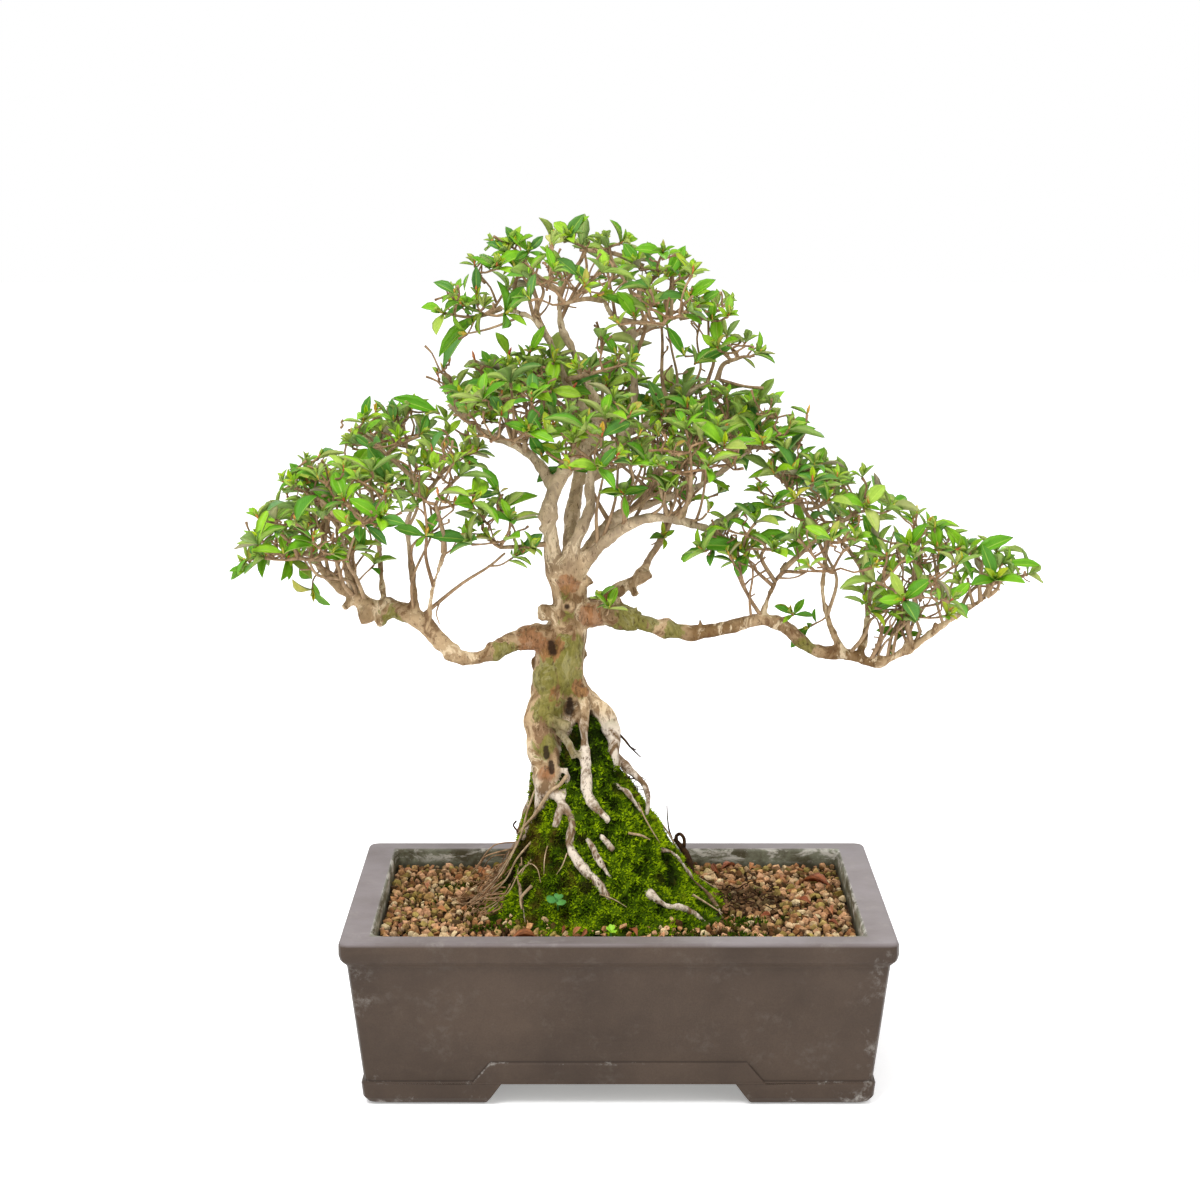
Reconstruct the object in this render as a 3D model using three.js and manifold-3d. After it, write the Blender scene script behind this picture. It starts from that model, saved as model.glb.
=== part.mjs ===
// Satsuki azalea bonsai: an exposed-root tree on a moss mound in an unglazed rectangular pot.
// Millimetres, +Z up. X runs along the pot, Y from its front to its back, Z = 0 is the floor
// under the four feet, and the origin lies under the middle of the whole object.

import * as THREE from "three";
import { mergeVertices } from "three/addons/utils/BufferGeometryUtils.js";
import Module from "manifold-3d";

const wasm = await Module();
wasm.setup();

// ---------------------------------------------------------------- driving sizes

const SEAT = 0.3; // clearance between neighbouring pieces

const POT_LENGTH = 350;
const POT_WIDTH = 245;
const POT_HEIGHT = 110;
const RIM_LENGTHWAYS = 20; // rim width at the two short sides
const RIM_CROSSWAYS = 18; // rim width at the two long sides
const LIP_BOTTOM = 94.5;
const BODY_DRAFT = 0.115; // outward lean of the walls, millimetres per millimetre of height
const BAND_RELIEF = 1.4; // how far the base band stands out
const BAND_TOP = 28.7;
const FOOT_BAND_TOP = 15.5;
const APRON_BOTTOM = 14.5; // height of the gaps between the feet
const POT_FLOOR_TOP = 24;
const FRONT_GAP_HALF = 85; // half the gap between the feet at the floor, seen from the front
const SIDE_GAP_HALF = 46;
const FOOT_WALL = 21; // thickness of the L-shaped feet
const DRAIN_RADIUS = 11;
const DRAIN_X = 82;
const MESH_SIDE = 36;
const MESH_THICKNESS = 1.4;
const MESH_BAR = 3;
const MESH_CELLS = 2;

const SOIL_TOP = 99;
const GRANULE = 2.2; // height of the granule relief
const SOIL_CELLS_X = 16;
const SOIL_CELLS_Y = 11;

const MOUND_BOTTOM = 92;
const MOUND_CENTRE_Y = -4;
const MOUND_DEPTH_RATIO = 0.95; // front-to-back radius over left-to-right radius
const MOUND_SIDES = 18;
const MOSS_SKIN = 7; // thickness of moss and muck over the matted root ball

const TREE_X = -38; // where the trunk's root core stands
const CENTRE_SHIFT_X = -11; // moves the object from the pot's middle to the middle of its full spread

const LEAF_THICKNESS = 0.85;
const LEAF_WIDTH_RATIO = 0.38;
const LEAF_LONGEST = 25;
const LEAF_SHORTEST = 18;
const WHORL_LEAVES = 4;
const TWIG_RADIUS = 0.8;

// ---------------------------------------------------------------- materials

const surface = (color, roughness) => new THREE.MeshStandardMaterial({ color, roughness, metalness: 0 });
const CERAMIC = surface(0x5e5048, 0.75);
const PLASTIC_MESH = surface(0x1d1f1c, 0.6);
const GRANULES = surface(0xb08f6c, 0.95);
const MOSS = surface(0x4c7a12, 1);
const BARK = surface(0xab9a80, 0.85);
const FOLIAGE = surface(0x4f8a35, 0.5);
const DRY_LEAF = surface(0x8a4a26, 0.7);
const SEEDLING = surface(0x6fae3a, 0.5);

// ---------------------------------------------------------------- solids and seeded draws

/** One manifold solid from a three.js geometry. */
function solidOf(geometry) {
  const plain = new THREE.BufferGeometry();
  plain.setAttribute("position", geometry.getAttribute("position"));
  plain.setIndex(geometry.getIndex());
  const merged = mergeVertices(plain, 1e-4);
  const mesh = new wasm.Mesh({
    numProp: 3,
    vertProperties: new Float32Array(merged.getAttribute("position").array),
    triVerts: new Uint32Array(merged.getIndex().array),
  });
  return new wasm.Manifold(mesh);
}

/** A geometry from a list of Vector3 and a list of triangles. */
function geometryOf(points, triangles) {
  const geometry = new THREE.BufferGeometry();
  const coordinates = points.flatMap((point) => point.toArray());
  geometry.setAttribute("position", new THREE.Float32BufferAttribute(coordinates, 3));
  geometry.setIndex(triangles.flat());
  return geometry;
}

/** The largest body of a solid, without the loose scrap that a cut leaves. */
function mainBody(solid) {
  return solid.decompose().reduce((a, b) => (b.volume() > a.volume() ? b : a));
}

/** A named mesh from a solid. */
function meshOf(name, solid, material) {
  const data = solid.simplify(0.03).getMesh();
  const geometry = new THREE.BufferGeometry();
  geometry.setAttribute("position", new THREE.BufferAttribute(new Float32Array(data.vertProperties), 3));
  geometry.setIndex(new THREE.BufferAttribute(new Uint32Array(data.triVerts), 1));
  geometry.computeVertexNormals();
  const mesh = new THREE.Mesh(geometry, material);
  mesh.name = name;
  return mesh;
}

/** Closed skin over a stack of rings that have the same number of points. */
function skinned(rings, bottom, top) {
  const count = rings[0].length;
  const points = [...rings.flat(), bottom, top];
  const bottomIndex = points.length - 2;
  const topIndex = points.length - 1;
  const last = (rings.length - 1) * count;
  const triangles = [];
  for (let side = 0; side < count; side += 1) {
    const next = (side + 1) % count;
    triangles.push([bottomIndex, next, side]);
    triangles.push([topIndex, last + side, last + next]);
    for (let ring = 0; ring < rings.length - 1; ring += 1) {
      const low = ring * count;
      const high = low + count;
      triangles.push([low + side, low + next, high + next]);
      triangles.push([low + side, high + next, high + side]);
    }
  }
  return solidOf(geometryOf(points, triangles));
}

/** A solid through stacked rounded rectangles, each { z, x, y, corner }: x and y are half sizes. */
function stacked(levels, cornerSteps) {
  const ringAt = ({ z, x, y, corner }) => {
    const ring = [];
    for (let quarter = 0; quarter < 4; quarter += 1) {
      const signX = quarter === 0 || quarter === 3 ? 1 : -1;
      const signY = quarter < 2 ? 1 : -1;
      for (let step = 0; step <= cornerSteps; step += 1) {
        const angle = ((quarter + step / cornerSteps) * Math.PI) / 2;
        const px = signX * (x - corner) + corner * Math.cos(angle);
        const py = signY * (y - corner) + corner * Math.sin(angle);
        ring.push(new THREE.Vector3(px, py, z));
      }
    }
    return ring;
  };
  const bottom = new THREE.Vector3(0, 0, levels[0].z);
  const top = new THREE.Vector3(0, 0, levels[levels.length - 1].z);
  return skinned(levels.map(ringAt), bottom, top);
}

/** A box solid between two corners. */
function box(x0, y0, z0, x1, y1, z1) {
  const geometry = new THREE.BoxGeometry(x1 - x0, y1 - y0, z1 - z0);
  geometry.translate((x0 + x1) / 2, (y0 + y1) / 2, (z0 + z1) / 2);
  return solidOf(geometry);
}

/** A prism of an outline in the X-Z plane, running along Y, or in the Y-Z plane along X. */
function prism(outline, length, alongX) {
  const shape = new THREE.Shape(outline.map(([u, v]) => new THREE.Vector2(u, v)));
  const geometry = new THREE.ExtrudeGeometry(shape, { depth: length, bevelEnabled: false });
  geometry.translate(0, 0, -length / 2);
  geometry.rotateX(Math.PI / 2);
  if (alongX) geometry.rotateZ(Math.PI / 2);
  return solidOf(geometry);
}

/** Repeatable draws between 0 and 1 from a whole-number seed. */
function draws(seed) {
  let state = seed >>> 0;
  return () => {
    state = (state + 0x6d2b79f5) >>> 0;
    let mixed = Math.imul(state ^ (state >>> 15), state | 1);
    mixed ^= mixed + Math.imul(mixed ^ (mixed >>> 7), mixed | 61);
    return ((mixed ^ (mixed >>> 14)) >>> 0) / 4294967296;
  };
}

/** One repeatable value between 0 and 1 for a pair of whole numbers. */
const speckle = (i, j) => draws(Math.imul(i + 101, 7919) + Math.imul(j + 57, 104729))();

// ---------------------------------------------------------------- pot

const SHORTER = (POT_LENGTH - POT_WIDTH) / 2; // what a half width lacks of the half length
const bodyHalf = (z) => POT_LENGTH / 2 - 5 + BODY_DRAFT * (z - 93);
const level = (z, half, corner) => ({ z, x: half, y: half - SHORTER, corner });

/** The trapezium that the feet leave open: half width at the floor, narrower at the top. */
function gapOutline(halfWidth, top) {
  const slant = 11 * (top / APRON_BOTTOM);
  return [
    [-halfWidth, -1],
    [halfWidth, -1],
    [halfWidth - slant, top],
    [slant - halfWidth, top],
  ];
}

function makePot() {
  const half = POT_LENGTH / 2;
  const body = stacked(
    [
      level(3, bodyHalf(3), 5),
      level(LIP_BOTTOM - 0.8, bodyHalf(LIP_BOTTOM), 5),
      level(LIP_BOTTOM, half - 4, 5),
      level(LIP_BOTTOM + 3, half - 1, 6),
      level(LIP_BOTTOM + 7, half, 6),
      level(POT_HEIGHT - 1.5, half, 6),
      level(POT_HEIGHT, half - 1.5, 5),
    ],
    2,
  );
  const footFoil = stacked(
    [
      level(0, half - 19, 6),
      level(1.5, half - 15.5, 6),
      level(5, bodyHalf(5) + BAND_RELIEF + 0.6, 5),
      level(FOOT_BAND_TOP - 1, bodyHalf(FOOT_BAND_TOP) + BAND_RELIEF + 0.4, 5),
      level(FOOT_BAND_TOP, bodyHalf(FOOT_BAND_TOP) - 0.2, 5),
    ],
    2,
  );
  const tallBand = stacked(
    [
      level(FOOT_BAND_TOP - 3, bodyHalf(FOOT_BAND_TOP - 3) + BAND_RELIEF, 5),
      level(BAND_TOP - 1, bodyHalf(BAND_TOP) + BAND_RELIEF, 5),
      level(BAND_TOP, bodyHalf(BAND_TOP) - 0.2, 5),
    ],
    2,
  );
  const bandStep = (reach) => [
    [-reach - 10, FOOT_BAND_TOP - 4],
    [reach + 10, FOOT_BAND_TOP - 4],
    [reach + 7, FOOT_BAND_TOP],
    [reach - 4, BAND_TOP + 1],
    [4 - reach, BAND_TOP + 1],
    [-reach - 7, FOOT_BAND_TOP],
  ];
  const raised = prism(bandStep(FRONT_GAP_HALF), 400, false).add(prism(bandStep(SIDE_GAP_HALF), 400, true));
  const innerX = half - RIM_LENGTHWAYS;
  const innerY = POT_WIDTH / 2 - RIM_CROSSWAYS;
  const cavity = stacked(
    [
      { z: POT_FLOOR_TOP, x: innerX - 6, y: innerY - 6, corner: 9 },
      { z: POT_HEIGHT - 2, x: innerX, y: innerY, corner: 9 },
      { z: POT_HEIGHT + 1, x: innerX + 1.6, y: innerY + 1.6, corner: 9 },
    ],
    2,
  );
  const recessX = bodyHalf(0) - FOOT_WALL;
  const underside = box(-recessX, SHORTER - recessX, -1, recessX, recessX - SHORTER, APRON_BOTTOM);
  const drain = (x) => {
    const hole = new THREE.CylinderGeometry(DRAIN_RADIUS, DRAIN_RADIUS, 20, 14);
    hole.rotateX(Math.PI / 2);
    hole.translate(x, 0, POT_FLOOR_TOP - 5);
    return solidOf(hole);
  };
  return body
    .add(footFoil)
    .add(tallBand.intersect(raised))
    .subtract(cavity)
    .subtract(underside)
    .subtract(prism(gapOutline(FRONT_GAP_HALF, APRON_BOTTOM), 400, false))
    .subtract(prism(gapOutline(SIDE_GAP_HALF, APRON_BOTTOM), 400, true))
    .subtract(drain(-DRAIN_X))
    .subtract(drain(DRAIN_X));
}

/** The plastic lattice that lies over a drain hole and keeps the soil in. */
function makeDrainMesh(x) {
  const low = POT_FLOOR_TOP + SEAT;
  const half = MESH_SIDE / 2;
  const cell = (MESH_SIDE - MESH_BAR) / MESH_CELLS;
  let lattice = box(x - half, -half, low, x + half, half, low + MESH_THICKNESS);
  for (let i = 0; i < MESH_CELLS; i += 1) {
    for (let j = 0; j < MESH_CELLS; j += 1) {
      const u = x - half + MESH_BAR + i * cell;
      const v = -half + MESH_BAR + j * cell;
      const side = cell - MESH_BAR;
      const opening = box(u, v, low - 1, u + side, v + side, low + MESH_THICKNESS + 1);
      lattice = lattice.subtract(opening);
    }
  }
  return lattice;
}

// ---------------------------------------------------------------- moss mound

// Half profile of the mound: height, X of its centre, radius along X.
const MOUND_PROFILE = [
  [MOUND_BOTTOM, -8, 86],
  [101, -8, 82],
  [109, -11, 71],
  [122, -14, 61],
  [146, -15, 49],
  [166, -20, 39],
  [190, -26, 29],
  [212, -24, 18],
  [227, -20, 8],
];

/** Centre and radius of the mound at a height. */
function moundAt(z) {
  const rows = MOUND_PROFILE;
  let k = 1;
  while (k < rows.length - 1 && rows[k][0] < z) k += 1;
  const t = THREE.MathUtils.clamp((z - rows[k - 1][0]) / (rows[k][0] - rows[k - 1][0]), 0, 1);
  const between = (column) => THREE.MathUtils.lerp(rows[k - 1][column], rows[k][column], t);
  return { x: between(1), r: between(2) };
}

/** A point over the mound's face: angle in degrees round it, height, and distance out from it. */
function onMound(angle, z, lift) {
  const { x, r } = moundAt(z);
  const radians = THREE.MathUtils.degToRad(angle);
  const reach = r + lift;
  const px = x + reach * Math.cos(radians);
  const py = MOUND_CENTRE_Y + reach * MOUND_DEPTH_RATIO * Math.sin(radians);
  return [px, py, z];
}

function makeMound() {
  const rings = MOUND_PROFILE.map(([z, , r], row) => {
    const ring = [];
    for (let side = 0; side < MOUND_SIDES; side += 1) {
      const bump = row < 1 ? 0 : -speckle(row, side) * Math.min(5, 0.2 * r);
      const [x, y] = onMound((side * 360) / MOUND_SIDES, z, bump);
      const rise = row < 2 ? 0 : (speckle(side, row + 40) - 0.5) * 4;
      ring.push(new THREE.Vector3(x, y, z + rise));
    }
    return ring;
  });
  const [topZ, topX] = MOUND_PROFILE[MOUND_PROFILE.length - 1];
  const bottom = new THREE.Vector3(MOUND_PROFILE[0][1], MOUND_CENTRE_Y, MOUND_BOTTOM);
  const top = new THREE.Vector3(topX, MOUND_CENTRE_Y, topZ + 4);
  return skinned(rings, bottom, top);
}

/** The pocket in the soil that the mound stands in. */
function moundPocket() {
  const ring = (z, lift) => {
    const points = [];
    for (let side = 0; side < MOUND_SIDES; side += 1) {
      const [x, y] = onMound((side * 360) / MOUND_SIDES, MOUND_BOTTOM, lift);
      points.push(new THREE.Vector3(x, y, z));
    }
    return points;
  };
  const x = MOUND_PROFILE[0][1];
  const low = MOUND_BOTTOM - SEAT;
  const high = SOIL_TOP + 20;
  const bottom = new THREE.Vector3(x, MOUND_CENTRE_Y, low);
  const top = new THREE.Vector3(x, MOUND_CENTRE_Y, high);
  return skinned([ring(low, SEAT), ring(high, SEAT)], bottom, top);
}

// ---------------------------------------------------------------- soil

/** Height of the granule bed: a slight rise towards the mound, under a coarse relief. */
function soilHeight(i, j, x, y) {
  const rise = 4 * Math.exp(-((x / 110) ** 2) - (y / 80) ** 2) - 1.5;
  return SOIL_TOP + rise + (speckle(i, j) - 0.5) * 2 * GRANULE;
}

function soilBlock() {
  const cellX = 320 / SOIL_CELLS_X;
  const cellY = 220 / SOIL_CELLS_Y;
  const points = [];
  const triangles = [];
  const at = (i, j, layer) => (j * (SOIL_CELLS_X + 1) + i) * 2 + layer;
  for (let j = 0; j <= SOIL_CELLS_Y; j += 1) {
    for (let i = 0; i <= SOIL_CELLS_X; i += 1) {
      const inside = i > 0 && j > 0 && i < SOIL_CELLS_X && j < SOIL_CELLS_Y ? 1 : 0;
      const x = -160 + (i + inside * (speckle(j, i) - 0.5) * 0.5) * cellX;
      const y = -110 + (j + inside * (speckle(i + 70, j) - 0.5) * 0.5) * cellY;
      points.push(new THREE.Vector3(x, y, POT_FLOOR_TOP - 2));
      points.push(new THREE.Vector3(x, y, soilHeight(i, j, x, y)));
    }
  }
  for (let j = 0; j < SOIL_CELLS_Y; j += 1) {
    for (let i = 0; i < SOIL_CELLS_X; i += 1) {
      triangles.push([at(i, j, 1), at(i + 1, j, 1), at(i + 1, j + 1, 1)]);
      triangles.push([at(i, j, 1), at(i + 1, j + 1, 1), at(i, j + 1, 1)]);
      triangles.push([at(i, j, 0), at(i + 1, j + 1, 0), at(i + 1, j, 0)]);
      triangles.push([at(i, j, 0), at(i, j + 1, 0), at(i + 1, j + 1, 0)]);
    }
  }
  const wall = (a, b) => {
    triangles.push([a, b, b + 1]);
    triangles.push([a, b + 1, a + 1]);
  };
  for (let i = 0; i < SOIL_CELLS_X; i += 1) {
    wall(at(i, 0, 0), at(i + 1, 0, 0));
    wall(at(i + 1, SOIL_CELLS_Y, 0), at(i, SOIL_CELLS_Y, 0));
  }
  for (let j = 0; j < SOIL_CELLS_Y; j += 1) {
    wall(at(0, j + 1, 0), at(0, j, 0));
    wall(at(SOIL_CELLS_X, j, 0), at(SOIL_CELLS_X, j + 1, 0));
  }
  return solidOf(geometryOf(points, triangles));
}

function makeSoil(woodClearance) {
  const innerX = POT_LENGTH / 2 - RIM_LENGTHWAYS - SEAT;
  const innerY = POT_WIDTH / 2 - RIM_CROSSWAYS - SEAT;
  const fill = stacked(
    [
      { z: POT_FLOOR_TOP + SEAT, x: innerX - 6, y: innerY - 6, corner: 8.7 },
      { z: POT_HEIGHT - 2, x: innerX, y: innerY, corner: 8.7 },
    ],
    2,
  );
  const meshPocket = (x) => {
    const half = MESH_SIDE / 2 + SEAT;
    const low = POT_FLOOR_TOP - 3;
    return box(x - half, -half, low, x + half, half, POT_FLOOR_TOP + MESH_THICKNESS + 2 * SEAT);
  };
  const soil = soilBlock()
    .intersect(fill)
    .subtract(moundPocket())
    .subtract(meshPocket(-DRAIN_X))
    .subtract(meshPocket(DRAIN_X))
    .subtract(woodClearance);
  return mainBody(soil);
}

// ---------------------------------------------------------------- trunk, branches and roots

// Routes through points [x, y, z, radius], each with the number of sides of its section.
// Every limb starts inside the one that it grows from.
const TRUNK = [8, [[TREE_X + 6, 4, 150, 9], [-33, 4, 177, 14], [-37, 3, 215, 17], [-40, 0, 241, 18],
  [-38, 0, 258, 16.5], [-37, 0, 273, 15.5], [-33, 0, 289, 13.5], [-31, 0, 303, 11.5],
    [-31, 0, 316, 12], [-31, 0, 329, 9.5]]];

// Heights of the matted root ball inside the mound.
const BALL_LEVELS = [84, 101, 116, 146, 178];

const LEGS = [
  [5, [[-41, -4, 244, 13], [-50, -10, 231, 10.4], [-49, -14, 217, 11.2], [-47, -18, 204, 10.6],
    [-46, -22, 193, 9.6], [-48, -25, 183, 7], [-53, -22, 168, 4], [-56, -18, 154, 2.4]]],
  [5, [[-26, -6, 247, 10], [-24, -14, 231, 6], [-22, -20, 218, 4.6], [-21, -26, 201, 4.3],
    [-20, -33, 183, 4], [-14, -37, 175, 3.3], [-6, -38, 167, 2.6]]],
  [5, [[-31, 2, 250, 10], [-20, 0, 239, 8], [-8, -4, 228, 6.6], [-3, -8, 217, 5.8], [-3, -11, 206, 4.8],
    [-3, -9, 196, 4], [-4, -6, 184, 3]]],
  [4, [[-3, -8, 206, 4.2], [7, -8, 195, 3.4], [17, -10, 185, 3], [20, -11, 175, 2.6], [18, -12, 160, 2]]],
  [5, [[-34, 14, 243, 12], [-37, 24, 220, 9], [-29, 27, 194, 8], [-16, 34, 169, 6], [-6, 41, 150, 4]]],
  [4, [[-40, 8, 240, 11], [-52, 16, 216, 8], [-52, 22, 192, 6.5], [-56, 24, 168, 5], [-66, 24, 142, 3]]],
];

// Roots that run down over the moss, as [angle round the mound, height, gap over the moss, radius]
// after a first point inside the root ball or a leg. A gap below zero sinks the root's end.
const MOSS_ROOTS = [
  { sides: 4, from: [-46, -24, 189, 6], over: [[-114, 180, 0, 3.4], [-104, 168, 0, 3], [-109, 154, 0, 2.8],
    [-101, 142, 0, 2.9], [-91, 133, 0, 2.7], [-82, 121, 0, 2.2], [-80, 112, -3, 1.6]] },
  { sides: 4, from: [-28, -20, 158, 6], over: [[-91, 155, 0, 2.3], [-86, 143, 0, 2.6],
    [-77, 130, -2, 1.8]] },
  { sides: 4, from: [-8, -6, 140, 8], over: [[-24, 143, 0, 2], [-16, 132, 0, 2.3], [-13, 121, 0, 2.4],
    [-11, 112, 0, 2.2], [-16, 97, -3, 1.5]] },
  { sides: 4, from: [-4, -20, 120, 8], over: [[-55, 121, 0, 2.2], [-51, 115, 0, 2.6],
    [-40, 111, 0, 2.6], [-33, 99, -2, 1.7]] },
  { sides: 4, from: [-36, -16, 132, 8], over: [[-153, 134, 0, 1.9], [-142, 121, 0, 2.3],
    [-132, 107, 0, 2], [-131, 97, -3, 1.4]] },
  { sides: 4, from: [-14, -10, 178, 8], over: [[-36, 185, 0.2, 2], [-27, 173, 0, 2.2],
    [-22, 161, -2, 1.5]] },
  { sides: 4, from: [-30, -24, 192, 5], over: [[-120, 186, 0, 1.8], [-137, 178, 1, 1.7],
    [-153, 163, 1.2, 1.7], [-166, 148, 0, 1.2]] },
  { sides: 4, from: [-36, 0, 140, 8], over: [[178, 143, 0, 2.4], [172, 126, 1, 2.8],
    [170, 110, 1.5, 2.6], [172, 97, 8, 1.4]] },
  { sides: 4, from: [-10, 12, 150, 8], over: [[66, 150, 0, 2.6], [60, 134, 0, 3],
    [68, 116, 0, 2.8], [60, 96, -2, 1.6]] },
  { sides: 4, from: [-32, 14, 146, 8], over: [[112, 146, 0, 2.8], [120, 130, 0, 3],
    [116, 114, 0, 2.6], [126, 96, -2, 1.6]] },
];

const LIMBS = {
  leader_left: [5, [[-34, 0, 318, 8.5], [-41, -3, 332, 6.4], [-44, -5, 350, 5.8],
    [-45, -5, 365, 5.8], [-40, -4, 382, 6],
    [-28, 2, 400, 6], [-16, 5, 409, 6], [-9, 4, 426, 5]]],
  leader_middle: [4, [[-29, -5, 321, 7], [-30, -9, 339, 5.4], [-24, -9, 353, 4.8],
    [-18, -7, 368, 4.2], [-18, -5, 386, 4],
    [-12, -4, 399, 3.8], [3, 6, 414, 3.6], [10, 10, 431, 3.6], [10, 9, 455, 3.4],
      [9, 8, 478, 3.1], [13, 6, 501, 2.6], [16, 4, 522, 1.7]]],
  stem_apex_left: [4, [[-10, 4, 421, 4.4], [-26, 0, 436, 3.6], [-38, -4, 460, 3.2],
    [-48, -8, 483, 3], [-58, -11, 492, 2.2], [-75, -14, 497, 1.6]]],
  stem_apex_middle: [4, [[-9, 6, 423, 4.4], [-19, 11, 445, 3.7], [-29, 14, 467, 3.3],
    [-37, 16, 484, 3], [-38, 18, 506, 1.9]]],
  branch_left: [5, [[-36, 0, 279, 10], [-55, -5, 282, 8], [-69, -9, 280, 7.2],
    [-86, -12, 271, 5.8], [-102, -12, 270, 5.4],
    [-116, -10, 281, 6.8], [-128, -7, 293, 7.6], [-143, -4, 300, 6.8], [-162, 0, 303, 6],
      [-182, 5, 314, 4.8],
    [-195, 8, 326, 3.5], [-206, 8, 344, 2.2]]],
  riser_left_inner: [4, [[-132, -6, 297, 3.8], [-134, -2, 325, 3], [-136, 0, 342, 2.7],
    [-137, 2, 358, 2.4], [-125, 6, 378, 1.8]]],
  riser_left_outer: [4, [[-174, 3, 309, 3.8], [-177, -6, 333, 2.6], [-180, -12, 360, 1.8]]],
  riser_left_front: [4, [[-124, -7, 290, 3.6], [-120, -16, 315, 2.2], [-112, -24, 341, 1.8]]],
  riser_left_back: [4, [[-152, -2, 301, 3.6], [-156, 16, 322, 2.4], [-158, 32, 350, 1.9]]],
  branch_right: [5, [[-30, 0, 294, 9], [-10, -3, 298, 7.2], [14, -8, 293, 6.4],
    [47, -10, 286, 5.8], [70, -9, 289, 5.6],
    [95, -6, 294, 5.4], [110, -5, 288, 5.4], [127, -3, 274, 5], [151, -3, 270, 4.6], [168, -3, 265, 4.3],
    [188, -4, 273, 3.2], [217, -6, 294, 2.8], [240, -6, 309, 2]]],
  riser_right_inner: [4, [[93, -6, 292, 4], [98, -2, 308, 2.6], [110, 6, 330, 1.8]]],
  riser_right_middle: [4, [[147, -3, 271, 4], [138, 2, 292, 2.8], [134, 4, 312, 2.4], [138, 6, 345, 1.7]]],
  riser_right_outer: [4, [[187, -4, 272, 2.8], [193, -3, 292, 2.1], [200, -2, 314, 1.6]]],
  riser_right_back: [4, [[158, -3, 268, 4], [164, 14, 286, 2.6], [168, 30, 312, 1.8]]],
  branch_knobby: [5, [[-30, 4, 296, 8], [-9, 12, 305, 4.8], [3, 15, 312, 5.2], [13, 18, 317, 4.6],
    [23, 20, 334, 2.6], [34, 20, 349, 2]]],
  branch_middle: [4, [[-28, -4, 324, 7], [-12, -13, 343, 4.8], [1, -17, 355, 4.5],
    [20, -20, 363, 4.4], [44, -18, 360, 3.6], [62, -14, 353, 2.4]]],
  branch_middle_back: [4, [[-27, 5, 324, 6], [-14, 10, 344, 4.2], [3, 15, 361, 3.8],
    [26, 16, 369, 3.4], [55, 10, 381, 2.8],
    [69, 6, 391, 2.4], [84, 2, 403, 1.8]]],
  branch_middle_left: [4, [[-41, -3, 379, 5], [-55, 6, 399, 4.2], [-73, 10, 409, 3.6],
    [-91, 12, 416, 3], [-110, 12, 433, 1.8]]],
  branch_upper_right: [4, [[3, 8, 413, 3.6], [24, 14, 422, 3], [39, 14, 434, 2.8],
    [49, 12, 443, 2.6], [64, 9, 449, 1.8]]],
  branch_back: [4, [[-31, 4, 327, 7], [-31, 24, 355, 4.6], [-25, 40, 386, 3.8], [-18, 48, 412, 3],
    [-12, 50, 435, 2]]],
  branch_back_right: [4, [[-27, 36, 378, 4], [0, 44, 388, 2.8], [28, 48, 396, 2]]],
  riser_apex_right: [4, [[9, 8, 477, 3], [23, 12, 484, 2.1], [40, 14, 489, 1.6]]],
  riser_apex_front: [4, [[9, 6, 478, 3], [-3, -6, 490, 2], [-10, -14, 502, 1.6]]],
};

// Pruning scars and stubs on the trunk: [x, y, z, radius].
const KNOTS = [[-48, -6, 302, 4], [-30, -10, 303, 5], [-43, -13, 276, 5], [-19, -6, 311, 3.5],
  [-24, 12, 268, 6], [-51, 8, 262, 6]];

/** Rings along a limb: its spine points with radii, a few to each span by its length. */
function limbSpine(route, step) {
  const corners = route.map(([x, y, z]) => new THREE.Vector3(x, y, z));
  const curve = new THREE.CatmullRomCurve3(corners, false, "centripetal");
  const spans = route.length - 1;
  const spine = [];
  for (let span = 0; span < spans; span += 1) {
    const pieces = Math.max(1, Math.round(corners[span].distanceTo(corners[span + 1]) / step));
    for (let piece = 0; piece < pieces; piece += 1) {
      const t = piece / pieces;
      const radius = THREE.MathUtils.lerp(route[span][3], route[span + 1][3], t);
      spine.push({ point: curve.getPoint((span + t) / spans), radius });
    }
  }
  spine.push({ point: corners[spans], radius: route[spans][3] });
  return spine;
}

/** The axis to cross with a direction: one that is far from it. */
function crossAxis(along) {
  return Math.abs(along.x) < 0.8 ? new THREE.Vector3(1, 0, 0) : new THREE.Vector3(0, 1, 0);
}

/** A tapering limb with rounded ends over a spine, its section a little uneven. */
function limbSolid(spine, sides, grow, seed, uneven) {
  const rings = [];
  const last = spine.length - 1;
  // A few-sided section is kept as wide as a round one.
  const fullness = 1 + 0.6 * (1 / Math.cos(Math.PI / sides) - 1);
  let normal = null;
  for (let k = 0; k <= last; k += 1) {
    const before = spine[Math.max(0, k - 1)].point;
    const after = spine[Math.min(last, k + 1)].point;
    const along = after.clone().sub(before).normalize();
    if (normal === null) normal = crossAxis(along);
    normal.addScaledVector(along, -normal.dot(along)).normalize();
    const side = along.clone().cross(normal);
    const ring = [];
    for (let s = 0; s < sides; s += 1) {
      const angle = (s * 2 * Math.PI) / sides;
      const wobble = fullness * (1 + uneven * (speckle(seed + k, s) - 0.5));
      const reach = spine[k].radius * wobble + grow;
      const point = spine[k].point.clone();
      point.addScaledVector(normal, reach * Math.cos(angle)).addScaledVector(side, reach * Math.sin(angle));
      ring.push(point);
    }
    rings.push(ring);
    normal = normal.clone();
  }
  const capPoint = (end, inner) => {
    const out = spine[end].point.clone().sub(spine[inner].point).normalize();
    return spine[end].point.clone().addScaledVector(out, 0.5 * spine[end].radius + grow);
  };
  return skinned(rings, capPoint(0, 1), capPoint(last, last - 1));
}

const BALL_SIDES = 10;
const TRUNK_STEP = 16;
const BRANCH_STEP = 22;
const PLACE_STEP = 6; // spacing of the places where a spray may start

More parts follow.
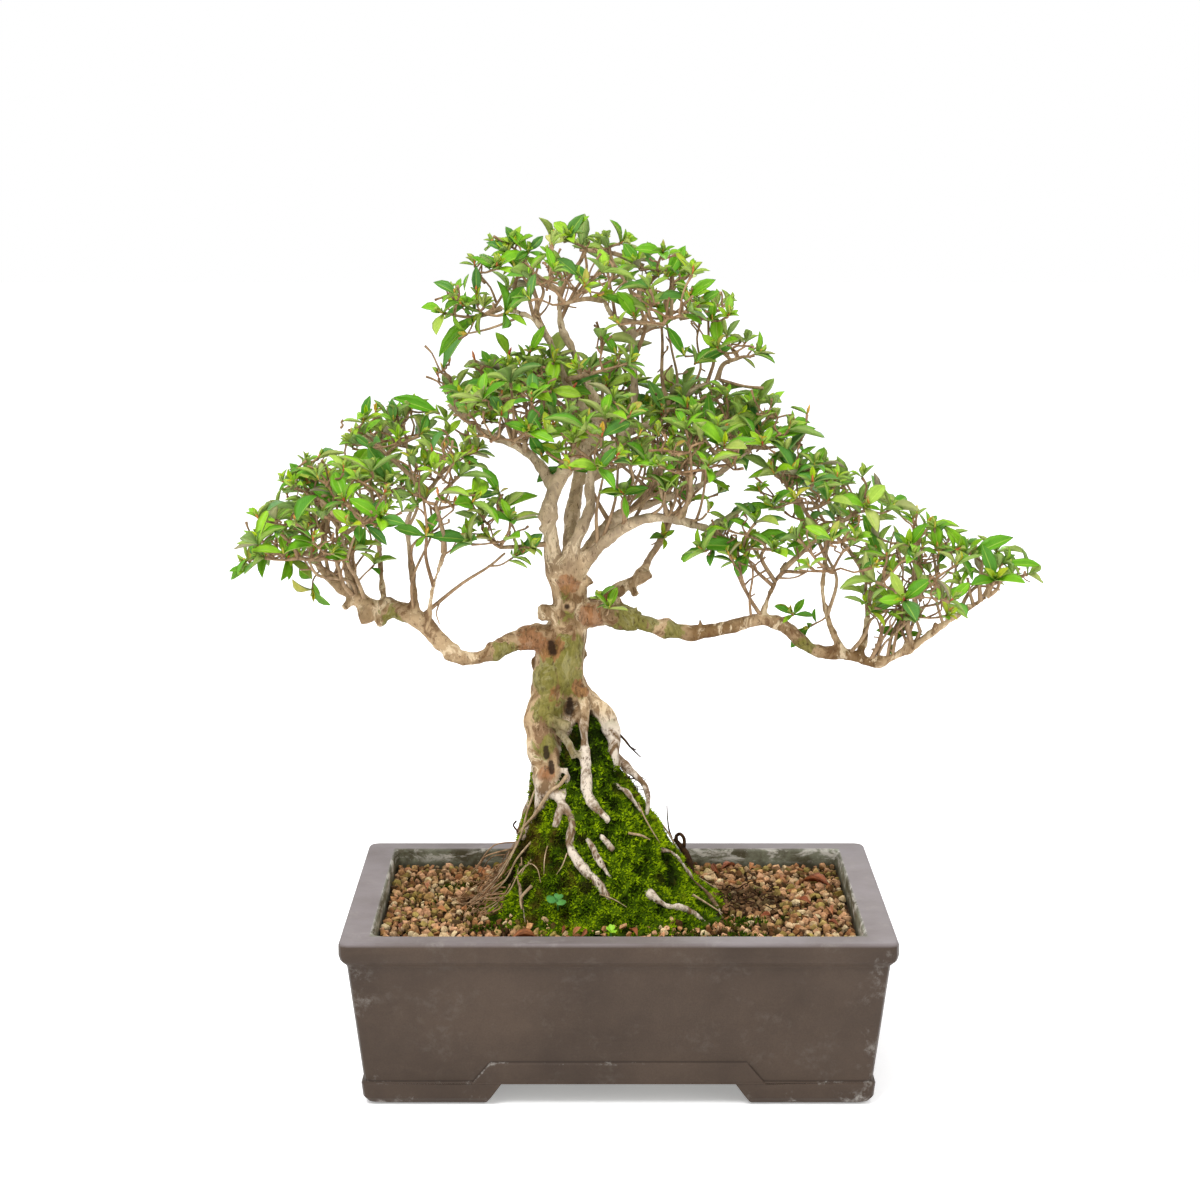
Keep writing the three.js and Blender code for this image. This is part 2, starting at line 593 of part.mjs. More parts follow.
/** Every limb of the tree as { spine, sides }. */
function limbSpines() {
  const mossRoutes = MOSS_ROOTS.map(({ sides, from, over }) => {
    const clear = (lift, radius) => (lift < 0 ? lift : lift + 1.2 * radius + SEAT);
    const laid = ([angle, z, lift, radius]) => [...onMound(angle, z, clear(lift, radius)), radius];
    const face = over.map(laid);
    return [sides, [from, ...face]];
  });
  const bare = [TRUNK, ...LEGS, ...mossRoutes];
  const leafy = Object.values(LIMBS);
  return [
    ...bare.map(([sides, route]) => ({ spine: limbSpine(route, TRUNK_STEP), sides })),
    ...leafy.map(([sides, route]) => ({ spine: limbSpine(route, BRANCH_STEP), sides })),
  ];
}

/** The matted roots inside the mound, one skin of moss in from its face. */
function rootBall(grow) {
  const ringAt = (z) => {
    const lift = z < 100 ? grow - 40 : grow - MOSS_SKIN;
    const ring = [];
    for (let side = 0; side < BALL_SIDES; side += 1) {
      ring.push(new THREE.Vector3(...onMound((side * 360) / BALL_SIDES, z, lift)));
    }
    return ring;
  };
  const low = BALL_LEVELS[0];
  const high = BALL_LEVELS[BALL_LEVELS.length - 1];
  const bottom = new THREE.Vector3(moundAt(low).x, MOUND_CENTRE_Y, low - grow);
  const top = new THREE.Vector3(moundAt(high).x, MOUND_CENTRE_Y, high + 8 + grow);
  return skinned(BALL_LEVELS.map(ringAt), bottom, top);
}

/** Trunk, branches and roots as one grown piece, swollen by a clearance. */
function woodSolid(limbs, grow) {
  const pieces = limbs.map(({ spine, sides }, k) => limbSolid(spine, sides, grow, 100 * k, 0.22));
  pieces.push(rootBall(grow));
  for (const [x, y, z, radius] of KNOTS) {
    const knot = new THREE.IcosahedronGeometry(radius + grow, 0);
    knot.translate(x, y, z);
    pieces.push(solidOf(indexed(knot)));
  }
  return wasm.Manifold.union(pieces);
}

/** A geometry with shared vertices. */
function indexed(geometry) {
  geometry.deleteAttribute("normal");
  geometry.deleteAttribute("uv");
  return mergeVertices(geometry, 1e-4);
}

// ---------------------------------------------------------------- leafy sprays

// Leaf clouds of the crown: [x, y, z] of the centre, [x, y, z] radii and how many shoots.
// Each is one spray that grows from the nearest free place on a limb.
const SPRAYS = {
  left_tip: [[-229, 0, 344], [28, 24, 26], 4],
  left_tip_front: [[-204, -42, 348], [28, 24, 26], 2],
  left_tip_back: [[-206, 42, 356], [28, 26, 28], 2],
  left_crown: [[-198, 4, 382], [30, 28, 24], 2],
  left_front: [[-160, -46, 372], [30, 26, 28], 2],
  left_top: [[-156, 2, 414], [32, 30, 24], 3],
  left_back: [[-164, 50, 380], [32, 28, 30], 3],
  left_inner_front: [[-116, -40, 384], [26, 26, 32], 2],
  left_inner_back: [[-118, 42, 392], [28, 28, 30], 2],
  left_low: [[-76, -22, 350], [22, 24, 20], 2],
  shoulder_left: [[-92, 8, 444], [30, 28, 26], 3],
  shoulder_left_front: [[-66, -42, 424], [30, 26, 28], 2],
  shoulder_left_back: [[-72, 58, 426], [32, 28, 28], 2],
  heart_front: [[-14, -46, 408], [30, 26, 28], 2],
  heart_back: [[-14, 74, 428], [32, 26, 30], 3],
  heart_left: [[-48, 4, 446], [22, 26, 22], 2],
  shoulder_front: [[46, -44, 402], [32, 26, 28], 2],
  shoulder_top: [[52, 4, 424], [28, 26, 20], 2],
  shoulder_back: [[46, 64, 412], [32, 28, 30], 2],
  shoulder_right: [[96, 6, 412], [30, 32, 24], 3],
  shoulder_right_low: [[118, -8, 378], [28, 32, 22], 2],
  right_inner: [[80, -24, 348], [26, 28, 20], 2],
  knobby_crown: [[46, 26, 374], [24, 24, 16], 2],
  right_front: [[136, -50, 340], [30, 26, 26], 2],
  right_top: [[152, 0, 368], [30, 28, 20], 3],
  right_back: [[140, 50, 356], [32, 30, 28], 2],
  right_outer_front: [[184, -42, 322], [30, 26, 26], 3],
  right_outer_back: [[190, 44, 334], [32, 28, 28], 3],
  right_outer_top: [[196, 2, 346], [28, 26, 20], 2],
  right_low: [[190, -8, 304], [26, 26, 18], 2],
  right_tip: [[243, -2, 322], [28, 24, 20], 4],
  apex_left: [[-90, -8, 500], [26, 32, 30], 3],
  apex_left_top: [[-62, 6, 530], [26, 28, 22], 2],
  apex_top: [[-20, 6, 538], [30, 26, 18], 3],
  apex_front: [[-34, -42, 510], [32, 24, 28], 2],
  apex_back: [[-26, 50, 512], [34, 26, 28], 3],
  apex_right_top: [[26, 4, 524], [26, 28, 20], 2],
  apex_right_front: [[28, -38, 496], [28, 24, 26], 2],
  apex_right_low: [[78, 10, 468], [24, 28, 16], 3],
  apex_right: [[58, 6, 496], [22, 28, 26], 2],
  apex_right_back: [[34, 50, 496], [30, 26, 28], 2],
  neck_front: [[-16, -26, 462], [22, 18, 18], 2],
};

const REACH_LEFT = -261.5; // nothing of the crown passes these
const REACH_RIGHT = 277.5;
const REACH_DEPTH = 121;
const REACH_TOP = 557;
const TIP_SPACING = 26;

/** Distance from a point to the segment a-b. */
function pointGap(point, a, b) {
  return new THREE.Line3(a, b).closestPointToPoint(point, true, new THREE.Vector3()).distanceTo(point);
}

/** Least distance between the segments a-b and c-d. */
function segmentGap(a, b, c, d) {
  const ab = b.clone().sub(a);
  const cd = d.clone().sub(c);
  const ca = a.clone().sub(c);
  const aa = ab.dot(ab);
  const ee = cd.dot(cd);
  const f = cd.dot(ca);
  const g = ab.dot(ca);
  const h = ab.dot(cd);
  const denominator = aa * ee - h * h;
  const clamp = (value) => Math.min(1, Math.max(0, value));
  let s = denominator > 1e-9 ? clamp((h * f - g * ee) / denominator) : 0;
  let t = (h * s + f) / ee;
  if (t < 0 || t > 1) {
    t = clamp(t);
    s = clamp((h * t - g) / aa);
  }
  return a.clone().addScaledVector(ab, s).distanceTo(c.clone().addScaledVector(cd, t));
}

/** True if a twig keeps clear of every segment in the list. */
function isClear(a, b, radius, segments) {
  return segments.every((other) => segmentGap(a, b, other.a, other.b) > radius + other.radius + 2 * SEAT);
}

/** The limbs as straight segments, a little thicker than drawn. */
function limbSegments(limbs) {
  const segments = [];
  for (const { spine } of limbs) {
    for (let k = 0; k + 1 < spine.length; k += 1) {
      const radius = 1.3 * Math.max(spine[k].radius, spine[k + 1].radius);
      segments.push({ a: spine[k].point, b: spine[k + 1].point, radius });
    }
  }
  return segments;
}

/** The stalk of each spray: from the cheapest free place on a limb to the heart of its cloud. */
function plantStalks(obstacles) {
  const places = Object.values(LIMBS).flatMap(([, route]) => limbSpine(route, PLACE_STEP).slice(3));
  const taken = [];
  const stalks = [];
  Object.entries(SPRAYS).forEach(([name, [centre, radii, shoots]], index) => {
    const draw = draws(1000 + index);
    const middle = new THREE.Vector3(...centre);
    const hub = middle.clone().add(new THREE.Vector3(0, 0, -0.3 * radii[2]));
    const cost = (place) => place.point.distanceTo(hub) + Math.max(0, place.point.z - hub.z);
    const sorted = places.filter((place) => taken.every((used) => used.distanceTo(place.point) > 6));
    sorted.sort((p, q) => cost(p) - cost(q));
    const bend = new THREE.Vector3(draw() - 0.5, draw() - 0.5, draw() - 0.5).multiplyScalar(6);
    for (const place of sorted) {
      const elbow = place.point.clone().lerp(hub, 0.5).add(bend);
      const way = (place.radius + 4) / place.point.distanceTo(elbow);
      const exit = place.point.clone().lerp(elbow, Math.min(0.9, way));
      const others = stalks.flatMap((stalk) => stalk.segments);
      const radius = 1.5;
      const beyond = obstacles.filter(({ a, b }) => pointGap(place.point, a, b) > place.radius + 5);
      const free = isClear(exit, elbow, radius, [...beyond, ...others])
        && isClear(elbow, hub, radius, [...beyond, ...others])
        && isClear(place.point, exit, radius, others);
      if (free) {
        taken.push(place.point);
        const segments = [
          { a: place.point, b: elbow, radius },
          { a: elbow, b: hub, radius },
        ];
        stalks.push({ name, index, middle, radii, shoots, draw, root: place.point, elbow, hub, segments });
        return;
      }
    }
    throw new Error(name + " finds no free place to grow from");
  });
  return stalks;
}

/** A shoot tip in the outer part of a cloud, seldom on its underside. */
function drawTip({ middle, radii, draw }) {
  const turn = 2 * Math.PI * draw();
  const up = -0.45 + 1.45 * draw();
  const flat = Math.sqrt(1 - up * up);
  const depth = 0.62 + 0.38 * draw();
  const offset = new THREE.Vector3(flat * Math.cos(turn), flat * Math.sin(turn), up);
  offset.multiply(new THREE.Vector3(...radii));
  return middle.clone().addScaledVector(offset, depth);
}

/** Shoots of every spray, one after another, each clear of the wood and of the other sprays. */
function growShoots(stalks, obstacles) {
  const tips = [];
  const twigs = stalks.map(() => []);
  for (const stalk of stalks) {
    const theirs = (other) => (other === stalk ? [] : [...other.segments, ...twigs[other.index]]);
    const others = () => stalks.flatMap(theirs);
    const joints = [stalk.elbow.clone().lerp(stalk.hub, 0.6), stalk.hub];
    let tries = 0;
    while (twigs[stalk.index].length < stalk.shoots && tries < 400) {
      tries += 1;
      const tip = drawTip(stalk);
      const start = joints.reduce((p, q) => (p.distanceTo(tip) < q.distanceTo(tip) ? p : q));
      const outward = tip.clone().sub(stalk.middle).normalize();
      const axis = tip.clone().sub(start).normalize().multiplyScalar(0.5).add(outward.multiplyScalar(0.4));
      axis.add(new THREE.Vector3(0, 0, 0.55)).normalize();
      const spaced = tips.every((other) => other.distanceTo(tip) > TIP_SPACING);
      const inReach = tip.x > REACH_LEFT + 6 && tip.x < REACH_RIGHT - 6
        && Math.abs(tip.y) < REACH_DEPTH - 8 && tip.z < REACH_TOP - 8;
      const longEnough = start.distanceTo(tip) > 8;
      if (spaced && inReach && longEnough && isClear(start, tip, TWIG_RADIUS, [...obstacles, ...others()])) {
        tips.push(tip);
        const phase = 2 * Math.PI * draws(tips.length)();
        twigs[stalk.index].push({ a: start, b: tip, radius: TWIG_RADIUS, axis, phase });
      }
    }
  }
  return twigs;
}

/** The three corners that shape one leaf, and its place round the shoot. */
function bladeOf(twig, turn, draw, scale) {
  const { axis, b: centre } = twig;
  const across = crossAxis(axis).cross(axis).normalize();
  const onward = axis.clone().cross(across);
  const outward = across.multiplyScalar(Math.cos(turn)).addScaledVector(onward, Math.sin(turn));
  const raise = THREE.MathUtils.degToRad(4 + 34 * draw());
  const along = outward.clone().multiplyScalar(Math.cos(raise)).addScaledVector(axis, Math.sin(raise));
  const sideways = axis.clone().cross(outward);
  const length = scale * (LEAF_SHORTEST + (LEAF_LONGEST - LEAF_SHORTEST) * draw());
  const width = length * LEAF_WIDTH_RATIO;
  const waist = centre.clone().addScaledVector(along, 0.5 * length).addScaledVector(axis, 0.12 * width);
  const right = waist.clone().addScaledVector(sideways, -width / 2);
  const left = waist.clone().addScaledVector(sideways, width / 2);
  const tip = centre.clone().addScaledVector(along, length).addScaledVector(axis, -0.05 * length);
  return { turn, right, tip, left, outward };
}

/**
 * A shoot with its leaves as one closed sheet: the leaves make a star of even thickness, and the
 * middle of its underside runs down as the twig.
 */
function shootSolid(twig, blades) {
  const { axis, a: foot, b: centre } = twig;
  const sorted = [...blades].sort((p, q) => p.turn - q.turn);
  const notches = sorted.map((blade, k) => {
    const next = sorted[(k + 1) % sorted.length];
    const full = 2 * Math.PI;
    const half = 0.5 * ((next.turn - blade.turn + full) % full || full);
    const outward = blade.outward.clone().applyAxisAngle(axis, half);
    return centre.clone().addScaledVector(outward, 1.2 * TWIG_RADIUS + 0.3);
  });
  const outline = sorted.flatMap((blade, k) => [blade.right, blade.tip, blade.left, notches[k]]);
  const count = outline.length;
  const shoots = sorted.length;
  const leafFaces = sorted.flatMap((blade, k) => {
    const first = 4 * k;
    const back = 4 * ((k + shoots - 1) % shoots) + 3;
    return [[back, first, first + 1], [back, first + 1, first + 3], [first + 3, first + 1, first + 2]];
  });
  const lift = axis.clone().multiplyScalar(LEAF_THICKNESS / 2);
  const points = [...outline.map((p) => p.clone().add(lift)), ...outline.map((p) => p.clone().sub(lift))];
  const triangles = [...leafFaces, ...leafFaces.map(([p, q, r]) => [p + count, r + count, q + count])];
  for (let k = 0; k < count; k += 1) {
    const next = (k + 1) % count;
    triangles.push([k + count, next + count, next], [k + count, next, k]);
  }
  const bud = points.length;
  points.push(centre.clone().addScaledVector(axis, 2.4));
  const base = points.length;
  for (const notch of notches) points.push(foot.clone().add(notch).sub(centre));
  const root = points.length;
  points.push(foot);
  for (let k = 0; k < shoots; k += 1) {
    const next = (k + 1) % shoots;
    const upper = 4 * k + 3;
    const upperNext = 4 * next + 3;
    triangles.push([bud, upper, upperNext]);
    triangles.push([upper + count, base + k, base + next], [upper + count, base + next, upperNext + count]);
    triangles.push([root, base + next, base + k]);
  }
  return solidOf(geometryOf(points, triangles));
}

/** One leaf alone, as the room that it needs. */
function bladeRoom(twig, blade) {
  const { axis, b: centre } = twig;
  const grow = SEAT + 0.1;
  const heel = centre.clone().addScaledVector(blade.outward, 2.5);
  const sideways = axis.clone().cross(blade.outward).multiplyScalar(1.2 + grow);
  const heart = blade.right.clone().add(blade.left).multiplyScalar(0.5);
  const wide = (corner) => corner.clone().addScaledVector(corner.clone().sub(heart).normalize(), grow);
  const feet = [heel.clone().sub(sideways), heel.clone().add(sideways)];
  const outline = [feet[0], wide(blade.right), wide(blade.tip), wide(blade.left), feet[1]];
  const lift = axis.clone().multiplyScalar(LEAF_THICKNESS / 2 + grow);
  const points = [...outline.map((p) => p.clone().add(lift)), ...outline.map((p) => p.clone().sub(lift))];
  const over = [[0, 1, 2], [0, 2, 4], [4, 2, 3]];
  const under = over.map(([a, b, c]) => [a + 5, c + 5, b + 5]);
  const rim = [0, 1, 2, 3, 4].flatMap((k) => {
    const next = (k + 1) % 5;
    return [[k + 5, next + 5, next], [k + 5, next, k]];
  });
  return solidOf(geometryOf(points, [...over, ...under, ...rim]));
}

/** True if two boxes as the solids give them overlap. */
function boxesMeet(p, q) {
  return [0, 1, 2].every((k) => p.min[k] < q.max[k] && q.min[k] < p.max[k]);
}

/** Puts the leaves on every shoot: a leaf that would meet the wood or another shoot is left off. */
function unfoldLeaves(stalks, twigs, obstacles) {
  const rooms = [];
  const bars = [];
  for (const stalk of stalks) {
    const own = [...stalk.segments, ...twigs[stalk.index]];
    own.forEach((segment) => bars.push({ segment, spray: stalk.index }));
  }
  const within = (point) => point.x > REACH_LEFT && point.x < REACH_RIGHT
    && Math.abs(point.y) < REACH_DEPTH && point.z < REACH_TOP;
  const leafClear = (blade, twig, room, roomBox) => {
    const corners = [blade.right, blade.tip, blade.left];
    if (!corners.every(within)) return false;
    const lines = [
      [twig.b.clone().lerp(blade.tip, 0.2), blade.tip],
      [blade.right, blade.left],
      [blade.right, blade.tip],
      [blade.left, blade.tip],
    ];
    const ahead = ({ a, b }) => Math.min(a.distanceTo(blade.tip), b.distanceTo(blade.tip));
    const near = obstacles.filter((bar) => ahead(bar) < 60 + bar.radius);
    if (!lines.every(([p, q]) => isClear(p, q, 1, near))) return false;
    const misses = ({ segment }) => segment === twig
      || segmentGap(segment.a, segment.b, twig.b, blade.tip) > 14
      || room.intersect(barSolid(segment)).isEmpty();
    return bars.every(misses) && rooms.every((other) => other.twig === twig || !boxesMeet(other.box, roomBox)
      || other.room.intersect(room).isEmpty());
  };
  return stalks.map((stalk) => twigs[stalk.index].map((twig, k) => {
    const draw = draws(5000 + 40 * stalk.index + k);
    const blades = [];
    const offsets = [0, 0.35, -0.35, 0.7];
    for (let n = 0; n < WHORL_LEAVES; n += 1) {
      for (const offset of offsets) {
        const turn = (twig.phase + (2 * Math.PI * (n + 0.3 * offset)) / WHORL_LEAVES) % (2 * Math.PI);
        const blade = bladeOf(twig, turn, draw, 1);
        const room = bladeRoom(twig, blade);
        const roomBox = room.boundingBox();
        if (leafClear(blade, twig, room, roomBox)) {
          blades.push(blade);
          rooms.push({ twig, room, box: roomBox });
          break;
        }
      }
    }
    return { twig, blades };
  }));
}

const barSolids = new Map();

/** A twig as a solid, swollen by the clearance. */
function barSolid(segment) {
  if (!barSolids.has(segment)) {
    const spine = [segment.a, segment.b].map((point) => ({ point, radius: segment.radius }));
    barSolids.set(segment, limbSolid(spine, 4, SEAT + 0.2, 0, 0));
  }
  return barSolids.get(segment);
}

/** One spray: stalk, shoots and leaves fused, cut clear of the wood. */
function spraySolid(stalk, whorls, woodClearance) {
  const stalkSpine = [
    { point: stalk.root, radius: 1.7 },
    { point: stalk.elbow, radius: 1.4 },
    { point: stalk.hub, radius: 1.1 },
  ];
  const pieces = [limbSolid(stalkSpine, 3, 0, 0, 0)];
  for (const { twig, blades } of whorls) if (blades.length > 2) pieces.push(shootSolid(twig, blades));
  return mainBody(wasm.Manifold.union(pieces).subtract(woodClearance));
}

// ---------------------------------------------------------------- litter and seedlings

// Leaves lying on the granules: [x, y, direction in degrees, length].
const FALLEN = {
  fallen_leaf_1: [-60, -80, 12, 19],
  fallen_leaf_2: [-30, -91, 70, 15],
  fallen_leaf_3: [20, -95, 170, 17],
  fallen_leaf_4: [78, 90, 40, 14],
  fallen_leaf_5: [136, 48, 150, 22],
  fallen_leaf_6: [140, -18, 100, 14],
  fallen_leaf_green: [74, -90, 4, 24],
};
const DRY_CURL = 0.4; // how far the tips of a fallen leaf lift off the ground
const LITTER_THICKNESS = 0.8;

/** The highest face of the ground meshes under any of the points. */
function groundUnder(points, grounds) {
  const ray = new THREE.Raycaster();
  const down = new THREE.Vector3(0, 0, -1);
  const heights = points.flatMap(({ x, y }) => {
    ray.set(new THREE.Vector3(x, y, POT_HEIGHT + 200), down);
    return ray.intersectObjects(grounds).map((hit) => hit.point.z);
  });
  return Math.max(...heights);
}

/** A fallen leaf: a thin diamond, a little curled, resting on the ground. */
function makeFallen([x, y, degrees, length], grounds) {
  const turn = THREE.MathUtils.degToRad(degrees);
  const along = new THREE.Vector3(Math.cos(turn), Math.sin(turn), 0);
  const across = new THREE.Vector3(-Math.sin(turn), Math.cos(turn), 0);
  const centre = new THREE.Vector3(x, y, 0);
  const at = (u, v) => centre.clone()
    .addScaledVector(along, u * length)
    .addScaledVector(across, v * length);
  const samples = [];
  for (let u = -0.5; u <= 0.5; u += 0.05) for (let v = -0.2; v <= 0.2; v += 0.05) samples.push(at(u, v));
  const low = groundUnder(samples, grounds) + SEAT;
  const corners = [[-0.5, 0, DRY_CURL], [0.05, -0.19, 0], [0.5, 0, DRY_CURL], [0.05, 0.19, 0]];
  const sheet = (lift) => corners.map(([u, v, curl]) => at(u, v).setZ(low + curl + lift));
  const points = [...sheet(LITTER_THICKNESS), ...sheet(0)];
  const triangles = [[0, 1, 3], [1, 2, 3], [4, 7, 5], [5, 7, 6]];
  for (let k = 0; k < 4; k += 1) {
    const next = (k + 1) % 4;
    triangles.push([k + 4, next + 4, next], [k + 4, next, k]);
  }
  return solidOf(geometryOf(points, triangles));
}

// Seedlings: [foot, top of the stem, leaf scale, leaves].
const SEEDLINGS = {
  seedling_clover: [[-39, -60, 112], [-39, -67, 122], 0.26, 3],
  seedling_front: [[-4, -90, 92], [-5, -91, 108], 0.22, 4],
};

function seedlingTwig([foot, top]) {
  const a = new THREE.Vector3(...foot);
  const b = new THREE.Vector3(...top);
  return { a, b, radius: TWIG_RADIUS, axis: new THREE.Vector3(0, -0.3, 1).normalize() };
}

function makeSeedling(entry, seed) {
  const twig = seedlingTwig(entry);
  const [, , scale, leaves] = entry;
  const draw = draws(seed);
  const blades = [];
  for (let n = 0; n < leaves; n += 1) blades.push(bladeOf(twig, (2 * Math.PI * n) / leaves, draw, scale));
  return shootSolid(twig, blades);
}

/** The plain holes that the seedlings stand in. */
function seedlingHoles() {
  const holes = Object.values(SEEDLINGS).map((entry) => {
    const { a, b } = seedlingTwig(entry);
    const radius = 1.2 * TWIG_RADIUS + 0.3;
    return limbSolid([{ point: a, radius }, { point: b, radius }], 5, 2 * SEAT, 0, 0);
  });
  return wasm.Manifold.union(holes);
}

// ---------------------------------------------------------------- assembly

const group = new THREE.Group();
group.name = "satsuki_azalea_bonsai";

const limbs = limbSpines();
const obstacles = limbSegments(limbs);
const woodClearance = woodSolid(limbs, SEAT);

group.add(meshOf("pot", makePot(), CERAMIC));
group.add(meshOf("drain_mesh_left", makeDrainMesh(-DRAIN_X), PLASTIC_MESH));
group.add(meshOf("drain_mesh_right", makeDrainMesh(DRAIN_X), PLASTIC_MESH));
const holes = seedlingHoles();
const soil = meshOf("soil", makeSoil(woodClearance.add(holes)), GRANULES);
const mound = meshOf("moss_mound", mainBody(makeMound().subtract(woodClearance).subtract(holes)), MOSS);
group.add(soil, mound);
group.add(meshOf("wood", mainBody(woodSolid(limbs, 0)), BARK));

const stalks = plantStalks(obstacles);
const twigs = growShoots(stalks, obstacles);
const crown = unfoldLeaves(stalks, twigs, obstacles);
stalks.forEach((stalk) => {
  group.add(meshOf("spray_" + stalk.name, spraySolid(stalk, crown[stalk.index], woodClearance), FOLIAGE));
});

group.updateMatrixWorld(true);
for (const [name, entry] of Object.entries(FALLEN)) {
  const material = name.endsWith("green") ? FOLIAGE : DRY_LEAF;
  group.add(meshOf(name, makeFallen(entry, [soil, mound]), material));
}
Object.entries(SEEDLINGS).forEach(([name, entry], k) => {
  group.add(meshOf(name, makeSeedling(entry, 900 + k), SEEDLING));
});

group.position.x = CENTRE_SHIFT_X;

export default group;
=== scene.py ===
import math

import bmesh
import bpy
import numpy as np
from mathutils import Matrix, Vector, noise


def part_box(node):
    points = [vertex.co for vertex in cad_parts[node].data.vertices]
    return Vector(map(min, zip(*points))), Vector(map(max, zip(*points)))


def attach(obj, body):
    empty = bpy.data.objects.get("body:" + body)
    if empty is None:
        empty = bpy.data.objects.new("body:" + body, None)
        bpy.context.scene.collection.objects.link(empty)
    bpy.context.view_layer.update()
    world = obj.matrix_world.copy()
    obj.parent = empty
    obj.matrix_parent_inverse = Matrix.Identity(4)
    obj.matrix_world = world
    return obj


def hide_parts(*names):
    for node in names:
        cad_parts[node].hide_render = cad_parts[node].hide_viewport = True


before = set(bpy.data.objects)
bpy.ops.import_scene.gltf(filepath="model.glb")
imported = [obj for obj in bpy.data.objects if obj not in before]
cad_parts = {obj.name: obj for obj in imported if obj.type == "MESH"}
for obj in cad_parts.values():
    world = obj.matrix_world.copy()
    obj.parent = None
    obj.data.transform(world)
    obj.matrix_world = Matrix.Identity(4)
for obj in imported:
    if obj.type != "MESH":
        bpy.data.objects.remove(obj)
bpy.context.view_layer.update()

# ---------------------------------------------------------------- driving values
# The tree's tables are millimetres from the pot's middle; every mesh is metres from the object's.

MM = 0.001
CENTRE_SHIFT_X = -11.0
SEAT = 0.3
TURN = 2 * math.pi
GRANULE_RADIUS = 0.0026
MELT_GRAIN = 0.0013  # voxels that the wood is melted in
CRUMB_HEIGHT = 103.6
FIBRE_LOWEST = 103.5

RIM_X = 155.0  # inner edge of the rim
RIM_Y = 104.5
BED_TOP = 96.5  # under the granules
BED_SKIN = 0.093  # the bed is lowered a little above this
BED_CREST = 0.0972

MOUND_CENTRE_Y = -4.0
MOUND_DEPTH_RATIO = 0.95

REACH_LEFT = -254.6  # the crown ends here, as in the solids
REACH_RIGHT = 275.2
REACH_DEPTH = 122.0
REACH_TOP = 556.6

MELT = 0.5  # what the melting adds to a radius
BRANCH_FINENESS = 0.88
STALK_RADIUS = 1.5
TWIG_RADIUS = 0.8
BARE_TWIGS = 7  # of each spray
SHOOT_TRIES = 400
SHORTEST_SHOOT = 8
SHOOT_BOX = ((-255.5, 271.5), (-113, 113), (0, 549))  # where main tips may be
TIP_SPACING = 26.0
FINE_TIP_SPACING = {"left": 15.0, "right": 17.4, "heart": 11.6, "apex": 21.0}
FINE_TRIES = 100
FINE_TWIG_LENGTHS = (7, 40)
WHORL_ROOM = 9.0

CAMERA_PLACE = (-11.7, -1757.5, 611.6)
CAMERA_PITCH = 9.866
CAMERA_LENS = 81.9

SKY_SIDE = 0.38
SKY_TOP = 1.2

# First seeds of the draws.
STALK_SEED, FINE_SEED, TRUNK_SEED, LIMB_SEED, SPRAY_SEED = 1000, 7000, 600, 300, 4000
RISER_SEED, ODD_SEED, LARGE_SEED, LITTER_SEED, FIBRE_SEED = 9000, 9100, 9200, 71, 83

# ---------------------------------------------------------------- shape of the tree

# Half profile of the mound: height, X of its centre, radius along X.
MOUND_PROFILE = (
    (92, -8, 86), (101, -8, 82), (109, -11, 71), (122, -14, 61), (146, -15, 49), (166, -20, 39),
    (190, -26, 29), (212, -24, 18), (227, -20, 8),
)

# Wood: X, depth, height and radius of each point.
TRUNK = (
    (-32, 4, 150, 9), (-33, 4, 177, 14), (-37, 3, 215, 17), (-40, 0, 241, 18), (-38, 0, 258, 16.5),
    (-37, 0, 273, 15.5), (-33, 0, 289, 13.5), (-31, 0, 303, 11.5), (-31, 0, 316, 12), (-31, 0, 329, 9.5),
)

# Legs and exposed roots from the trunk into the mound.
LEGS = (
    ((-41, -4, 244, 13), (-50, -10, 231, 10.4), (-49, -14, 217, 11.2), (-47, -18, 204, 10.6),
     (-46, -22, 193, 9.6), (-48, -25, 183, 7), (-53, -22, 168, 4), (-56, -18, 154, 2.4)),
    ((-26, -6, 247, 10), (-24, -14, 231, 6), (-22, -20, 218, 4.6), (-21, -26, 201, 4.3), (-20, -33, 183, 4),
     (-14, -37, 175, 3.3), (-6, -38, 167, 2.6)),
    ((-31, 2, 250, 10), (-20, 0, 239, 8), (-8, -4, 228, 6.6), (-3, -8, 217, 5.8), (-3, -11, 206, 4.8),
     (-3, -9, 196, 4), (-4, -6, 184, 3)),
    ((-3, -8, 206, 4.2), (7, -8, 195, 3.4), (17, -10, 185, 3), (20, -11, 175, 2.6), (18, -12, 160, 2)),
    ((-34, 14, 243, 12), (-37, 24, 220, 9), (-29, 27, 194, 8), (-16, 34, 169, 6), (-6, 41, 150, 4)),
    ((-40, 8, 240, 11), (-52, 16, 216, 8), (-52, 22, 192, 6.5), (-56, 24, 168, 5), (-66, 24, 142, 3)),
)

